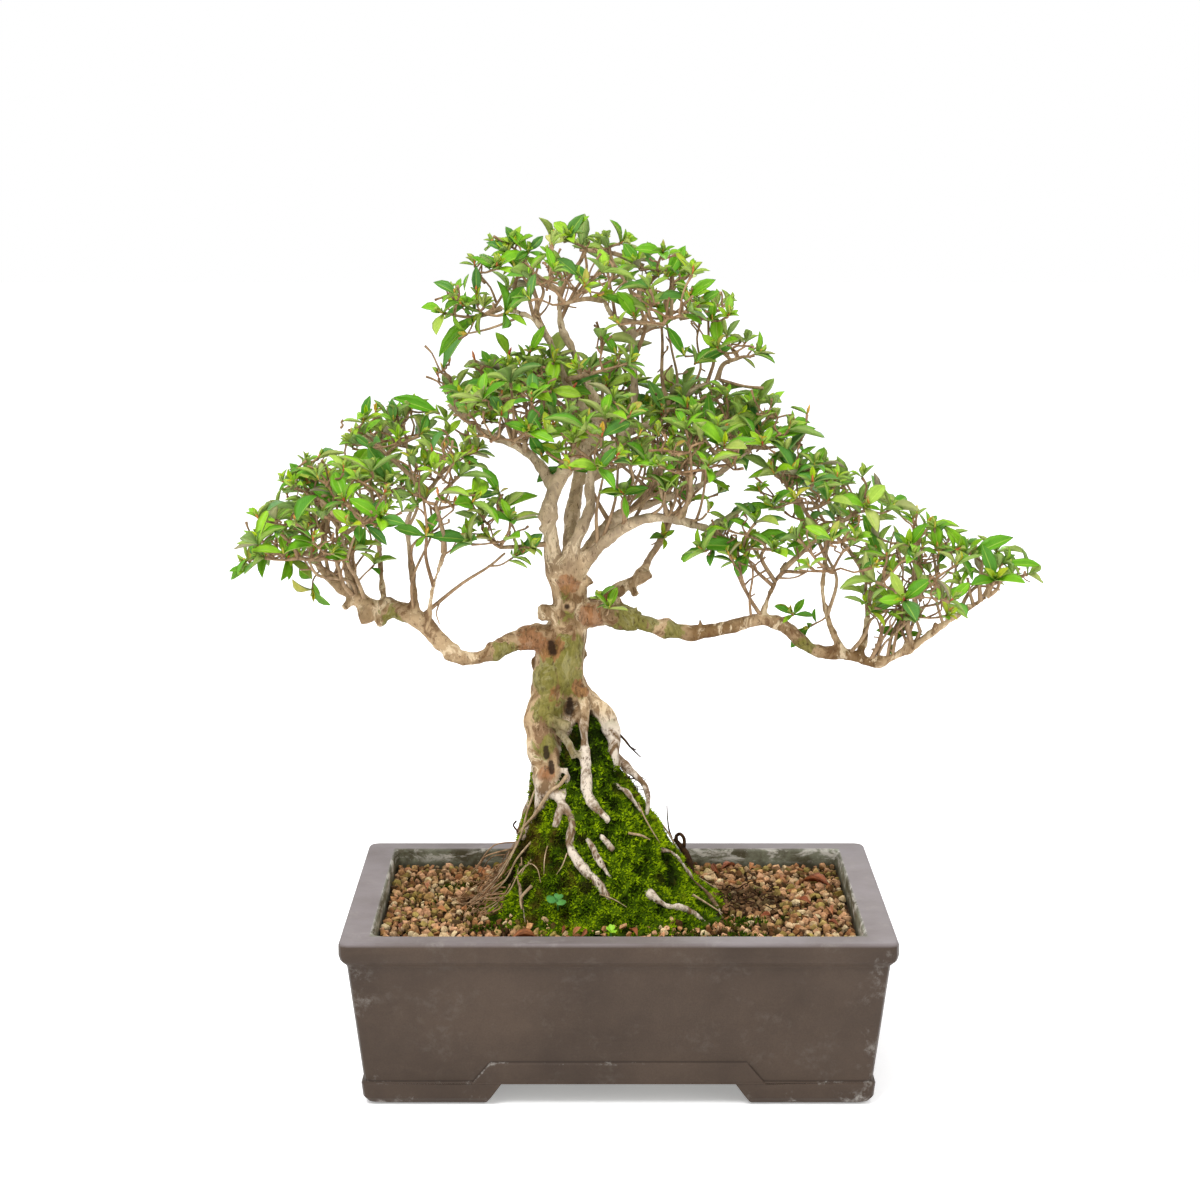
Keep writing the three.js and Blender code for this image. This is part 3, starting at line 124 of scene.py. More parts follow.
# Roots over the moss: start, then [degrees round the mound, height, stand-off, radius] of each point.
MOSS_ROOTS = (
    ((-46, -24, 189, 6), ((-114, 180, 0, 3.4), (-104, 168, 0, 3), (-109, 154, 0, 2.8), (-101, 142, 0, 2.9),
     (-91, 133, 0, 2.7), (-82, 121, 0, 2.2), (-80, 112, -3, 1.6))),
    ((-28, -20, 158, 6), ((-91, 155, 0, 2.3), (-86, 143, 0, 2.6), (-77, 130, -2, 1.8))),
    ((-8, -6, 140, 8), ((-24, 143, 0, 2), (-16, 132, 0, 2.3), (-13, 121, 0, 2.4), (-11, 112, 0, 2.2),
     (-16, 97, -3, 1.5))),
    ((-4, -20, 120, 8), ((-55, 121, 0, 2.2), (-51, 115, 0, 2.6), (-40, 111, 0, 2.6), (-33, 99, -2, 1.7))),
    ((-36, -16, 132, 8), ((-153, 134, 0, 1.9), (-142, 121, 0, 2.3), (-132, 107, 0, 2), (-131, 97, -3, 1.4))),
    ((-14, -10, 178, 8), ((-36, 185, 0.2, 2), (-27, 173, 0, 2.2), (-22, 161, -2, 1.5))),
    ((-30, -24, 192, 5), ((-120, 186, 0, 1.8), (-137, 178, 1, 1.7), (-153, 163, 1.2, 1.7),
     (-166, 148, 0, 1.2))),
    ((-36, 0, 140, 8), ((178, 143, 0, 2.4), (172, 126, 1, 2.8), (170, 110, 1.5, 2.6), (172, 97, 8, 1.4))),
    ((-10, 12, 150, 8), ((66, 150, 0, 2.6), (60, 134, 0, 3), (68, 116, 0, 2.8), (60, 96, -2, 1.6))),
    ((-32, 14, 146, 8), ((112, 146, 0, 2.8), (120, 130, 0, 3), (116, 114, 0, 2.6), (126, 96, -2, 1.6))),
)

# How far each of them sinks into the moss, as a share of its radius.
ROOT_SINKS = (1.2, 0.7, -0.5, 0.5, 0.8, 0.3, 1.0, 1.2, 1.2, 1.2)

# Limbs and their risers, each from its fork outward.
LIMBS = {
    "leader_left": ((-34, 0, 318, 8.5), (-41, -3, 332, 6.4), (-44, -5, 350, 5.8), (-45, -5, 365, 5.8),
        (-40, -4, 382, 6), (-28, 2, 400, 6), (-16, 5, 409, 6), (-9, 4, 426, 5)),
    "leader_middle": ((-29, -5, 321, 7), (-30, -9, 339, 5.4), (-24, -9, 353, 4.8), (-18, -7, 368, 4.2),
        (-18, -5, 386, 4), (-12, -4, 399, 3.8), (3, 6, 414, 3.6), (10, 10, 431, 3.6), (10, 9, 455, 3.4),
        (9, 8, 478, 3.1), (13, 6, 501, 2.6), (16, 4, 522, 1.7)),
    "stem_apex_left": ((-10, 4, 421, 4.4), (-26, 0, 436, 3.6), (-38, -4, 460, 3.2), (-48, -8, 483, 3),
        (-58, -11, 492, 2.2), (-75, -14, 497, 1.6)),
    "stem_apex_middle": ((-9, 6, 423, 4.4), (-19, 11, 445, 3.7), (-29, 14, 467, 3.3), (-37, 16, 484, 3),
        (-38, 18, 506, 1.9)),
    "branch_left": ((-36, 0, 279, 10), (-55, -5, 282, 8), (-69, -9, 280, 7.2), (-86, -12, 271, 5.8),
        (-102, -12, 270, 5.4), (-116, -10, 281, 6.8), (-128, -7, 293, 7.6), (-143, -4, 300, 6.8),
        (-162, 0, 303, 6), (-182, 5, 314, 4.8), (-195, 8, 326, 3.5), (-206, 8, 344, 2.2)),
    "riser_left_inner": ((-132, -6, 297, 3.8), (-134, -2, 325, 3), (-136, 0, 342, 2.7), (-137, 2, 358, 2.4),
        (-125, 6, 378, 1.8)),
    "riser_left_outer": ((-174, 3, 309, 3.8), (-177, -6, 333, 2.6), (-180, -12, 360, 1.8)),
    "riser_left_front": ((-124, -7, 290, 3.6), (-120, -16, 315, 2.2), (-112, -24, 341, 1.8)),
    "riser_left_back": ((-152, -2, 301, 3.6), (-156, 16, 322, 2.4), (-158, 32, 350, 1.9)),
    "branch_right": ((-30, 0, 294, 9), (-10, -3, 298, 7.2), (14, -8, 293, 6.4), (47, -10, 286, 5.8),
        (70, -9, 289, 5.6), (95, -6, 294, 5.4), (110, -5, 288, 5.4), (127, -3, 274, 5), (151, -3, 270, 4.6),
        (168, -3, 265, 4.3), (188, -4, 273, 3.2), (217, -6, 294, 2.8), (240, -6, 309, 2)),
    "riser_right_inner": ((93, -6, 292, 4), (98, -2, 308, 2.6), (110, 6, 330, 1.8)),
    "riser_right_middle": ((147, -3, 271, 4), (138, 2, 292, 2.8), (134, 4, 312, 2.4), (138, 6, 345, 1.7)),
    "riser_right_outer": ((187, -4, 272, 2.8), (193, -3, 292, 2.1), (200, -2, 314, 1.6)),
    "riser_right_back": ((158, -3, 268, 4), (164, 14, 286, 2.6), (168, 30, 312, 1.8)),
    "branch_knobby": ((-30, 4, 296, 8), (-9, 12, 305, 4.8), (3, 15, 312, 5.2), (13, 18, 317, 4.6),
        (23, 20, 334, 2.6), (34, 20, 349, 2)),
    "branch_middle": ((-28, -4, 324, 7), (-12, -13, 343, 4.8), (1, -17, 355, 4.5), (20, -20, 363, 4.4),
        (44, -18, 360, 3.6), (62, -14, 353, 2.4)),
    "branch_middle_back": ((-27, 5, 324, 6), (-14, 10, 344, 4.2), (3, 15, 361, 3.8), (26, 16, 369, 3.4),
        (55, 10, 381, 2.8), (69, 6, 391, 2.4), (84, 2, 403, 1.8)),
    "branch_middle_left": ((-41, -3, 379, 5), (-55, 6, 399, 4.2), (-73, 10, 409, 3.6), (-91, 12, 416, 3),
        (-110, 12, 433, 1.8)),
    "branch_upper_right": ((3, 8, 413, 3.6), (24, 14, 422, 3), (39, 14, 434, 2.8), (49, 12, 443, 2.6),
        (64, 9, 449, 1.8)),
    "branch_back": ((-31, 4, 327, 7), (-31, 24, 355, 4.6), (-25, 40, 386, 3.8), (-18, 48, 412, 3),
        (-12, 50, 435, 2)),
    "branch_back_right": ((-27, 36, 378, 4), (0, 44, 388, 2.8), (28, 48, 396, 2)),
    "riser_apex_right": ((9, 8, 477, 3), (23, 12, 484, 2.1), (40, 14, 489, 1.6)),
    "riser_apex_front": ((9, 6, 478, 3), (-3, -6, 490, 2), (-10, -14, 502, 1.6)),
}

# Clouds of leaves: middle, half size along X, Y and Z, and number of main shoots.
SPRAYS = {
    "left_tip": (-229, 0, 344, 28, 24, 26, 4), "left_tip_front": (-204, -42, 348, 28, 24, 26, 2),
    "left_tip_back": (-206, 42, 356, 28, 26, 28, 2), "left_crown": (-198, 4, 382, 30, 28, 24, 2),
    "left_front": (-160, -46, 372, 30, 26, 28, 2), "left_top": (-156, 2, 414, 32, 30, 24, 3),
    "left_back": (-164, 50, 380, 32, 28, 30, 3), "left_inner_front": (-116, -40, 384, 26, 26, 32, 2),
    "left_inner_back": (-118, 42, 392, 28, 28, 30, 2), "left_low": (-76, -22, 350, 22, 24, 20, 2),
    "shoulder_left": (-92, 8, 444, 30, 28, 26, 3), "shoulder_left_front": (-66, -42, 424, 30, 26, 28, 2),
    "shoulder_left_back": (-72, 58, 426, 32, 28, 28, 2), "heart_front": (-14, -46, 408, 30, 26, 28, 2),
    "heart_back": (-14, 74, 428, 32, 26, 30, 3), "heart_left": (-48, 4, 446, 22, 26, 22, 2),
    "shoulder_front": (46, -44, 402, 32, 26, 28, 2), "shoulder_top": (52, 4, 424, 28, 26, 20, 2),
    "shoulder_back": (46, 64, 412, 32, 28, 30, 2), "shoulder_right": (96, 6, 412, 30, 32, 24, 3),
    "shoulder_right_low": (118, -8, 378, 28, 32, 22, 2), "right_inner": (80, -24, 348, 26, 28, 20, 2),
    "knobby_crown": (46, 26, 374, 24, 24, 16, 2), "right_front": (136, -50, 340, 30, 26, 26, 2),
    "right_top": (152, 0, 368, 30, 28, 20, 3), "right_back": (140, 50, 356, 32, 30, 28, 2),
    "right_outer_front": (184, -42, 322, 30, 26, 26, 3), "right_outer_back": (190, 44, 334, 32, 28, 28, 3),
    "right_outer_top": (196, 2, 346, 28, 26, 20, 2), "right_low": (190, -8, 304, 26, 26, 18, 2),
    "right_tip": (243, -2, 322, 28, 24, 20, 4), "apex_left": (-90, -8, 500, 26, 32, 30, 3),
    "apex_left_top": (-62, 6, 530, 26, 28, 22, 2), "apex_top": (-20, 6, 538, 30, 26, 18, 3),
    "apex_front": (-34, -42, 510, 32, 24, 28, 2), "apex_back": (-26, 50, 512, 34, 26, 28, 3),
    "apex_right_top": (26, 4, 524, 26, 28, 20, 2), "apex_right_front": (28, -38, 496, 28, 24, 26, 2),
    "apex_right_low": (78, 10, 468, 24, 28, 16, 3), "apex_right": (58, 6, 496, 22, 28, 26, 2),
    "apex_right_back": (34, 50, 496, 30, 26, 28, 2), "neck_front": (-16, -26, 462, 22, 18, 18, 2),
}

REGIONS = {
    "left": ("left_",),
    "right": ("right_", "knobby_crown"),
    "heart": ("heart_", "shoulder_"),
    "apex": ("apex_", "neck_front"),
}


def region_of(name):
    return [region for region, starts in REGIONS.items() if name.startswith(starts)][0]


# ---------------------------------------------------------------- seeded draws and curves

WORD = 0xFFFFFFFF


def draws(seed):
    """Repeatable draws between 0 and 1 from a whole-number seed."""
    state = seed & WORD

    def draw():
        nonlocal state
        state = (state + 0x6D2B79F5) & WORD
        mixed = ((state ^ (state >> 15)) * (state | 1)) & WORD
        mixed ^= (mixed + (mixed ^ (mixed >> 7)) * (mixed | 61)) & WORD
        return ((mixed ^ (mixed >> 14)) & WORD) / 4294967296

    return draw


def vec(*values):
    return np.array(values, float)


def unit(v):
    return v / max(1e-9, float(np.linalg.norm(v)))


def gap(a, b):
    return float(np.linalg.norm(a - b))


def jitter(draw):
    """A small draw to any side, -0.5 to 0.5 along each axis."""
    return vec(draw() - 0.5, draw() - 0.5, draw() - 0.5)


def heading(turn, rise=0.0):
    return vec(math.cos(turn), math.sin(turn), rise)


def on_ball(turn, up):
    """The direction at a turn round the upright and a height from -1 to 1."""
    flat = math.sqrt(1 - up * up)
    return vec(flat * math.cos(turn), flat * math.sin(turn), up)


def metres(points):
    """Millimetres from the pot's middle to metres from the object's."""
    points = np.asarray(points, float).reshape(-1, 3)
    return (points + vec(CENTRE_SHIFT_X, 0, 0)) * MM


def curve_point(corners, span, t):
    """A point of a centripetal Catmull-Rom curve, t of the way along one span."""
    last = len(corners) - 1
    p1 = corners[span]
    p2 = corners[span + 1]
    p0 = corners[span - 1] if span > 0 else 2 * corners[0] - corners[1]
    p3 = corners[span + 2] if span + 2 <= last else 2 * corners[last] - corners[last - 1]
    d0, d1, d2 = (max(1e-4, gap(p, q)) ** 0.5 for p, q in ((p0, p1), (p1, p2), (p2, p3)))
    start = ((p1 - p0) / d0 - (p2 - p0) / (d0 + d1) + (p2 - p1) / d1) * d1
    end = ((p2 - p1) / d1 - (p3 - p1) / (d1 + d2) + (p3 - p2) / d2) * d1
    bow = -3 * p1 + 3 * p2 - 2 * start - end
    turn = 2 * p1 - 2 * p2 + start + end
    return p1 + start * t + bow * t * t + turn * t ** 3


def limb_spine(route, step):
    """Points and radii along a limb, a few to each span by its length."""
    corners = [vec(*row[:3]) for row in route]
    points = []
    radii = []
    for span in range(len(route) - 1):
        pieces = max(1, math.floor(gap(corners[span], corners[span + 1]) / step + 0.5))
        for piece in range(pieces):
            t = piece / pieces
            points.append(curve_point(corners, span, t))
            radii.append(route[span][3] * (1 - t) + route[span + 1][3] * t)
    points.append(corners[-1])
    radii.append(route[-1][3])
    return np.array(points), np.array(radii)


def mound_at(z):
    """X of the mound's middle and its radius at a height."""
    heights, middles, radii = zip(*MOUND_PROFILE)
    return float(np.interp(z, heights, middles)), float(np.interp(z, heights, radii))


def on_mound(angle, z, lift):
    """A point over the mound's face: degrees round it, height, and distance out from it."""
    x, r = mound_at(z)
    turn = math.radians(angle)
    reach = r + lift
    return vec(x + reach * math.cos(turn), MOUND_CENTRE_Y + reach * MOUND_DEPTH_RATIO * math.sin(turn), z)


def moss_routes(sinks=(0,) * len(MOSS_ROOTS)):
    """The roots over the moss as routes of points and radii, each sunk into it by a share of its radius."""
    routes = []
    for (start, over), sunk in zip(MOSS_ROOTS, sinks):
        routes.append([start])
        for angle, z, lift, radius in over:
            clear = lift if lift < 0 else lift + (1.2 - sunk) * radius + SEAT
            routes[-1].append([*on_mound(angle, z, clear), radius])
    return routes


# ---------------------------------------------------------------- where the shoots grow


def segment_gaps(a, b, starts, ends):
    """Least distance from the segment a-b to each of the segments."""
    ab = b - a
    cd = ends - starts
    ca = a - starts
    aa = ab @ ab
    ee = np.einsum("ij,ij->i", cd, cd)
    f = np.einsum("ij,ij->i", cd, ca)
    g = ca @ ab
    h = cd @ ab
    area = aa * ee - h * h
    s = np.where(area > 1e-9, np.clip((h * f - g * ee) / np.where(area > 1e-9, area, 1), 0, 1), 0)
    t = (h * s + f) / ee
    outside = (t < 0) | (t > 1)
    t = np.clip(t, 0, 1)
    s = np.where(outside, np.clip((h * t - g) / aa, 0, 1), s)
    near = a + ab * s[:, None]
    other = starts + cd * t[:, None]
    return np.linalg.norm(near - other, axis=1)


def point_gaps(point, starts, ends):
    cd = ends - starts
    t = np.clip(np.einsum("ij,ij->i", cd, point - starts) / np.einsum("ij,ij->i", cd, cd), 0, 1)
    return np.linalg.norm(starts + cd * t[:, None] - point, axis=1)


class Bars:
    """A list of straight segments with radii."""

    def __init__(self):
        self.starts = np.zeros((0, 3))
        self.ends = np.zeros((0, 3))
        self.radii = np.zeros(0)

    def add(self, a, b, radius):
        self.starts = np.vstack([self.starts, a])
        self.ends = np.vstack([self.ends, b])
        self.radii = np.append(self.radii, radius)

    def clear(self, a, b, radius, keep=None):
        """True if the segment a-b keeps clear of every bar, or of the kept ones."""
        if len(self.radii) == 0:
            return True
        gaps = segment_gaps(a, b, self.starts, self.ends)
        free = gaps > radius + self.radii + 2 * SEAT
        return bool(np.all(free if keep is None else free | ~keep))


def limb_bars():
    """The limbs as straight segments, a little thicker than drawn."""
    bars = Bars()
    bare = [TRUNK, *LEGS] + moss_routes()
    for routes, step in ((bare, 16), (LIMBS.values(), 22)):
        for route in routes:
            points, radii = limb_spine(route, step)
            for k in range(len(points) - 1):
                bars.add(points[k], points[k + 1], 1.3 * max(radii[k], radii[k + 1]))
    return bars


def plant_stalks(wood):
    """The stalk of each spray: from the cheapest free place on a limb to the heart of its cloud."""
    places = []
    for route in LIMBS.values():
        points, radii = limb_spine(route, 6)
        places += list(zip(points[3:], radii[3:]))
    taken = []
    stalks = []
    stems = Bars()
    for index, (name, (*sizes, shoots)) in enumerate(SPRAYS.items()):
        draw = draws(STALK_SEED + index)
        middle, radii = vec(*sizes[:3]), vec(*sizes[3:])
        hub = middle + vec(0, 0, -0.3 * radii[2])
        bend = jitter(draw) * 6
        open_places = [p for p in places if all(gap(used, p[0]) > 6 for used in taken)]
        open_places.sort(key=lambda p: gap(p[0], hub) + max(0.0, p[0][2] - hub[2]))
        for point, thick in open_places:
            elbow = (point + hub) / 2 + bend
            way = min(0.9, (thick + 4) / gap(point, elbow))
            leave = point + (elbow - point) * way
            beyond = point_gaps(point, wood.starts, wood.ends) > thick + 5
            ends = ((leave, elbow), (elbow, hub), (point, leave))
            if not (all(wood.clear(*pair, STALK_RADIUS, beyond) for pair in ends[:2])
                    and all(stems.clear(*pair, STALK_RADIUS) for pair in ends)):
                continue
            taken.append(point)
            stems.add(point, elbow, STALK_RADIUS)
            stems.add(elbow, hub, STALK_RADIUS)
            stalks.append({"name": name, "middle": middle, "radii": radii, "shoots": shoots, "draw": draw,
                           "root": point, "elbow": elbow, "hub": hub, "twigs": [], "fine": []})
            break
    return stalks


def draw_tip(stalk):
    """A shoot tip in the outer part of a cloud, seldom on its underside."""
    draw = stalk["draw"]
    way = on_ball(TURN * draw(), -0.45 + 1.45 * draw())
    return stalk["middle"] + way * stalk["radii"] * (0.62 + 0.38 * draw())


def shoot_axis(stalk, start, tip):
    """The way a whorl faces: onward, outward and up."""
    return unit(unit(tip - start) * 0.5 + unit(tip - stalk["middle"]) * 0.4 + vec(0, 0, 0.55))


def shoot(start, tip, axis, phase):
    """A twig with a whorl: its ends, the way the whorl faces and how it is turned."""
    return {"start": start, "tip": tip, "axis": axis, "phase": phase}


def grow_shoots(stalks, wood):
    """The main shoots of every spray, each clear of the wood and of the other sprays."""
    tips = []
    bars = []
    for k, stalk in enumerate(stalks):
        bars.append((k, stalk["root"], stalk["elbow"], STALK_RADIUS))
        bars.append((k, stalk["elbow"], stalk["hub"], STALK_RADIUS))
    for k, stalk in enumerate(stalks):
        joints = [stalk["elbow"] + (stalk["hub"] - stalk["elbow"]) * 0.6, stalk["hub"]]
        others = [bar for bar in bars if bar[0] != k]
        starts = np.array([bar[1] for bar in others])
        ends = np.array([bar[2] for bar in others])
        room = TWIG_RADIUS + np.array([bar[3] for bar in others]) + 2 * SEAT
        tries = 0
        while len(stalk["twigs"]) < stalk["shoots"] and tries < SHOOT_TRIES:
            tries += 1
            tip = draw_tip(stalk)
            start = joints[0] if gap(joints[0], tip) < gap(joints[1], tip) else joints[1]
            in_reach = all(low < at < high for at, (low, high) in zip(tip, SHOOT_BOX))
            if (in_reach and gap(start, tip) > SHORTEST_SHOOT
                    and all(gap(other, tip) > TIP_SPACING for other in tips)
                    and wood.clear(start, tip, TWIG_RADIUS)
                    and np.all(segment_gaps(start, tip, starts, ends) > room)):
                tips.append(tip)
                phase = TURN * draws(len(tips))()
                stalk["twigs"].append(shoot(start, tip, shoot_axis(stalk, start, tip), phase))
                bars.append((k, start, tip, TWIG_RADIUS))
    return tips


def grow_fine_twigs(stalks, tips, wood):
    """Finer twigs, each with its own whorl, in the gaps that the main shoots of a cloud leave."""
    taken = np.array(tips)
    for k, stalk in enumerate(stalks):
        draw = draws(FINE_SEED + k)
        spacing = FINE_TIP_SPACING[region_of(stalk["name"])]
        joints = [stalk["elbow"] + (stalk["hub"] - stalk["elbow"]) * t for t in (0.35, 0.6, 0.8, 1.0)]
        for twig in stalk["twigs"]:
            joints += [twig["start"] + (twig["tip"] - twig["start"]) * t for t in (0.3, 0.5, 0.7)]
        uses = [0] * len(joints)
        for _ in range(FINE_TRIES):
            way = on_ball(TURN * draw(), -0.3 + 1.3 * draw())
            depth = 0.42 + 0.62 * math.sqrt(draw()) + (0.2 if draw() < 0.16 else 0.0)
            tip = stalk["middle"] + way * stalk["radii"] * depth
            if not (REACH_LEFT + WHORL_ROOM < tip[0] < REACH_RIGHT - WHORL_ROOM
                    and abs(tip[1]) < REACH_DEPTH - WHORL_ROOM):
                continue
            if tip[2] > REACH_TOP - 7 or np.linalg.norm(taken - tip, axis=1).min() < spacing:
                continue
            places = np.array(joints)
            cost = np.linalg.norm(places - tip, axis=1) + 1.5 * np.maximum(0.0, places[:, 2] - tip[2] + 4)
            best = int(np.argmin(cost + 6.0 * np.array(uses)))
            start = places[best]
            length = gap(start, tip)
            if (not FINE_TWIG_LENGTHS[0] < length < FINE_TWIG_LENGTHS[1]
                    or not wood.clear(start, tip, TWIG_RADIUS)):
                continue
            taken = np.vstack([taken, tip])
            axis = unit(shoot_axis(stalk, start, tip) + vec(0, 0, 0.5))
            stalk["fine"].append(shoot(start, tip, axis, TURN * draw()))
            uses[best] += 1
            joints += [start + (tip - start) * t for t in (0.45, 0.7)]
            uses += [0, 0]


def flowing(corners, count):
    """Points along a curve through the corners, so many to a span."""
    corners = [vec(*corner) for corner in corners]
    return np.array([curve_point(corners, span, t) for span in range(len(corners) - 1)
                     for t in np.linspace(0, 1, count + 1)[:count]] + [corners[-1]])


def crooked(a, b, draw, bend, step=4.0):
    """Points from a to b through two bends to the side."""
    way = b - a
    length = float(np.linalg.norm(way))
    corners = [a]
    for t in (0.3 + 0.1 * draw(), 0.66 + 0.1 * draw()):
        corners.append(a + way * t + vec(draw() - 0.5, draw() - 0.5, 0.6 * (draw() - 0.5)) * bend * length)
    return flowing([*corners, b], max(2, round(length / step / 3)))


def bowed(a, b, draw, bow, step=4.0):
    """Points from a to b along a shallow arc that sags to one side and then turns up."""
    length = gap(a, b)
    control = (a + b) / 2 + vec(draw() - 0.5, draw() - 0.5, -0.35 * draw()) * bow * length
    count = max(3, round(length / step))
    t = np.linspace(0, 1, count + 1)[:, None]
    return (1 - t) ** 2 * a + 2 * t * (1 - t) * control + t ** 2 * b


def mark(mesh, name, values, kind="FLOAT", domain="POINT"):
    """Gives every point or face of a mesh a named value."""
    data = mesh.attributes.new(name, kind, domain).data
    values = np.array(values, np.int32 if kind == "INT" else np.float32)
    data.foreach_set("vector" if kind == "FLOAT_VECTOR" else "value", values.ravel())


def linked(name, data):
    """A new object in the scene."""
    piece = bpy.data.objects.new(name, data)
    bpy.context.scene.collection.objects.link(piece)
    return piece


class Chains:
    """Bent paths with a thickness and an age at each point, to be swept into twigs and roots."""

    def __init__(self):
        self.points = []
        self.edges = []
        self.thick = []
        self.age = []

    def add(self, points, thick, age=0.0):
        first = len(self.points)
        count = len(points)
        self.points += list(points)
        self.thick += list(np.interp(np.linspace(0, 1, count), np.linspace(0, 1, len(thick)), thick))
        self.age += [age] * count
        self.edges += [(first + k, first + k + 1) for k in range(count - 1)]

    def mesh(self, name):
        made = bpy.data.meshes.new(name)
        made.from_pydata(metres(self.points).tolist(), self.edges, [])
        mark(made, "thick", np.array(self.thick) * MM)
        mark(made, "age", self.age)
        return made


class Leaves:
    """Places of leaves: where each sits, how it is turned, its size and its looks."""

    def __init__(self):
        self.rows = []

    def add(self, place, along, face, length, breadth, shape, age, tint):
        side = unit(np.cross(along, face))
        face = np.cross(side, along)
        turn = Matrix((side, along, face)).transposed().to_euler()
        size = (length * breadth * MM, length * MM, length * MM)
        self.rows.append((metres(place)[0], tuple(turn), size, shape, age, tint))

    def mesh(self, name):
        made = bpy.data.meshes.new(name)
        made.from_pydata([row[0] for row in self.rows], [], [])
        kinds = (("facing", "FLOAT_VECTOR"), ("size", "FLOAT_VECTOR"), ("shape", "INT"), ("age", "FLOAT"),
                 ("tint", "FLOAT"))
        for column, (key, kind) in enumerate(kinds, 1):
            mark(made, key, [row[column] for row in self.rows], kind)
        return made


# Outline of the crown from the front: X and height of its upper edge, first below the apex, then round it.
CROWN_EDGE = (
    (-256, 332), (-246, 342), (-231, 359), (-212, 391), (-177, 416), (-160, 436), (-130, 438), (-108, 448),
    (-96, 466), (-60, 474), (60, 474), (101, 458), (128, 436), (150, 392), (186, 378), (222, 356), (255, 344),
    (276, 334),
)
APEX_EDGE = (
    (-118, 508), (-84, 540), (-47, 550), (-28, 555), (20, 543), (43, 534), (75, 502), (101, 470),
)
SIGHT_SLOPE = 0.17
EDGE_RAG = 22.0


def inside_reach(point):
    """True where the crown has room: within the solids' box and under its outline as seen from the front."""
    edge = APEX_EDGE if point[2] > 478 or (point[2] > 452 and point[0] > 0) else CROWN_EDGE
    top = np.interp(point[0], *zip(*edge)) + EDGE_RAG * noise.noise(Vector(point) * 0.07)
    return (REACH_LEFT < point[0] < REACH_RIGHT and abs(point[1]) < REACH_DEPTH
            and point[2] < min(REACH_TOP, top - SIGHT_SLOPE * point[1]))


# Kinds of whorl: how often each grows on a fine twig, then its rings of leaves from the outside in:
# [fewest, most, shortest, longest, lowest and highest raise in degrees, shape, age].
WHORLS = (
    (0.18, ((2, 4, 14, 24, 6, 46, 0, 0.06), (1, 3, 7, 12, 36, 66, 0, 0.3), (1, 2, 5, 8, 60, 84, 2, 1.0))),
    (0.24, ((2, 3, 10, 17, 10, 52, 1, 0.08), (2, 3, 7, 11, 30, 64, 0, 0.3), (1, 3, 5, 8, 55, 80, 2, 1.0))),
    (0.24, ((3, 5, 7, 12, 18, 58, 0, 0.5), (2, 3, 5, 8, 50, 80, 2, 1.0))),
    (0.09, ((1, 2, 13, 22, 4, 56, 1, 0.05),)),
    (0.25, ()),
)
MAIN_RINGS = ((3, 4, 14, 24, 8, 42, 0, 0.08), (1, 3, 8, 13, 38, 62, 0, 0.35), (1, 3, 5, 9, 60, 82, 2, 1.0))
LOW_RINGS = ((2, 4, 9, 17, 10, 60, 0, 0.3), (1, 3, 4, 8, 50, 80, 2, 1.0))


def fine_rings(draw):
    """The rings of a fine twig's whorl, by chance."""
    left = draw()
    for share, rings in WHORLS:
        left -= share
        if left < 0:
            return rings
    return ()


def drawn_in(twig):
    """A twig shortened until its whorl has room under the crown's outline."""
    start, tip = twig["start"], twig["tip"]
    for share in (1.0, 0.86, 0.72, 0.58, 0.44):
        end = start + (tip - start) * share
        if inside_reach(end + twig["axis"] * WHORL_ROOM):
            break
    return {**twig, "tip": end}


def unfold_whorl(leaves, buds, twig, rings, draw, vigour):
    """The leaves of one shoot in rings about its tip, with a few odd ones below and a bud."""
    axis = twig["axis"]
    tip = twig["tip"]
    pole = vec(1, 0, 0) if abs(axis[0]) < 0.8 else vec(0, 1, 0)
    across = unit(np.cross(pole, axis))
    onward = np.cross(axis, across)

    def leaf(turn, raise_degrees, length, place, shape, age):
        outward = across * math.cos(turn) + onward * math.sin(turn)
        tilt = math.radians(raise_degrees)
        along = outward * math.cos(tilt) + axis * math.sin(tilt)
        for shrink in (1.0, 0.8, 0.6):
            if inside_reach(place + along * length * shrink + vec(0, 0, 0.08 * length - 3.0)):
                face = axis * math.cos(tilt) - outward * math.sin(tilt)
                roll = 0.9 * (draw() - 0.5)
                face = unit(face + np.cross(along, face) * roll)
                breadth = (0.34 if length > 13 else 0.27) + 0.12 * draw()
                leaves.add(place, along, face, length * shrink, breadth, shape, age, draw())
                return

    turn = twig["phase"]
    for k, (fewest, most, shortest, longest, low, high, shape, age) in enumerate(rings):
        number = fewest + int(draw() * (most - fewest + 1))
        for n in range(number):
            around = turn + TURN * (n + 0.55 * (draw() - 0.5)) / number
            length = vigour * (shortest + (longest - shortest) * draw())
            kind = shape if shape == 2 or draw() < 0.7 else 1 - shape
            leaf(around, low + (high - low) * draw(), length, tip + axis * (0.4 + 0.6 * k), kind,
                 age * (0.6 + 0.4 * draw()))
        turn += 2.4 + draw()
    back = unit(twig["start"] - tip)
    for _ in range(int(draw() * 2.2) if rings else 0):
        place = tip + back * (2.5 + 6 * draw())
        leaf(TURN * draw(), -8 + 50 * draw(), vigour * (7 + 9 * draw()), place, 0, 0.15 * draw())
    if draw() < 0.8 and rings:
        buds.add(tip + axis * 0.8, axis, across, 3.6 + 3.0 * draw(), 0.55, 0, 0.0, draw())


# ---------------------------------------------------------------- node trees that repeat and sweep


def wire(tree, value, socket):
    """Links a value from another node, or sets it as it is."""
    value = getattr(value, "socket", value)
    if isinstance(value, bpy.types.NodeSocket):
        tree.links.new(value, socket)
    elif value is not None:
        socket.default_value = value


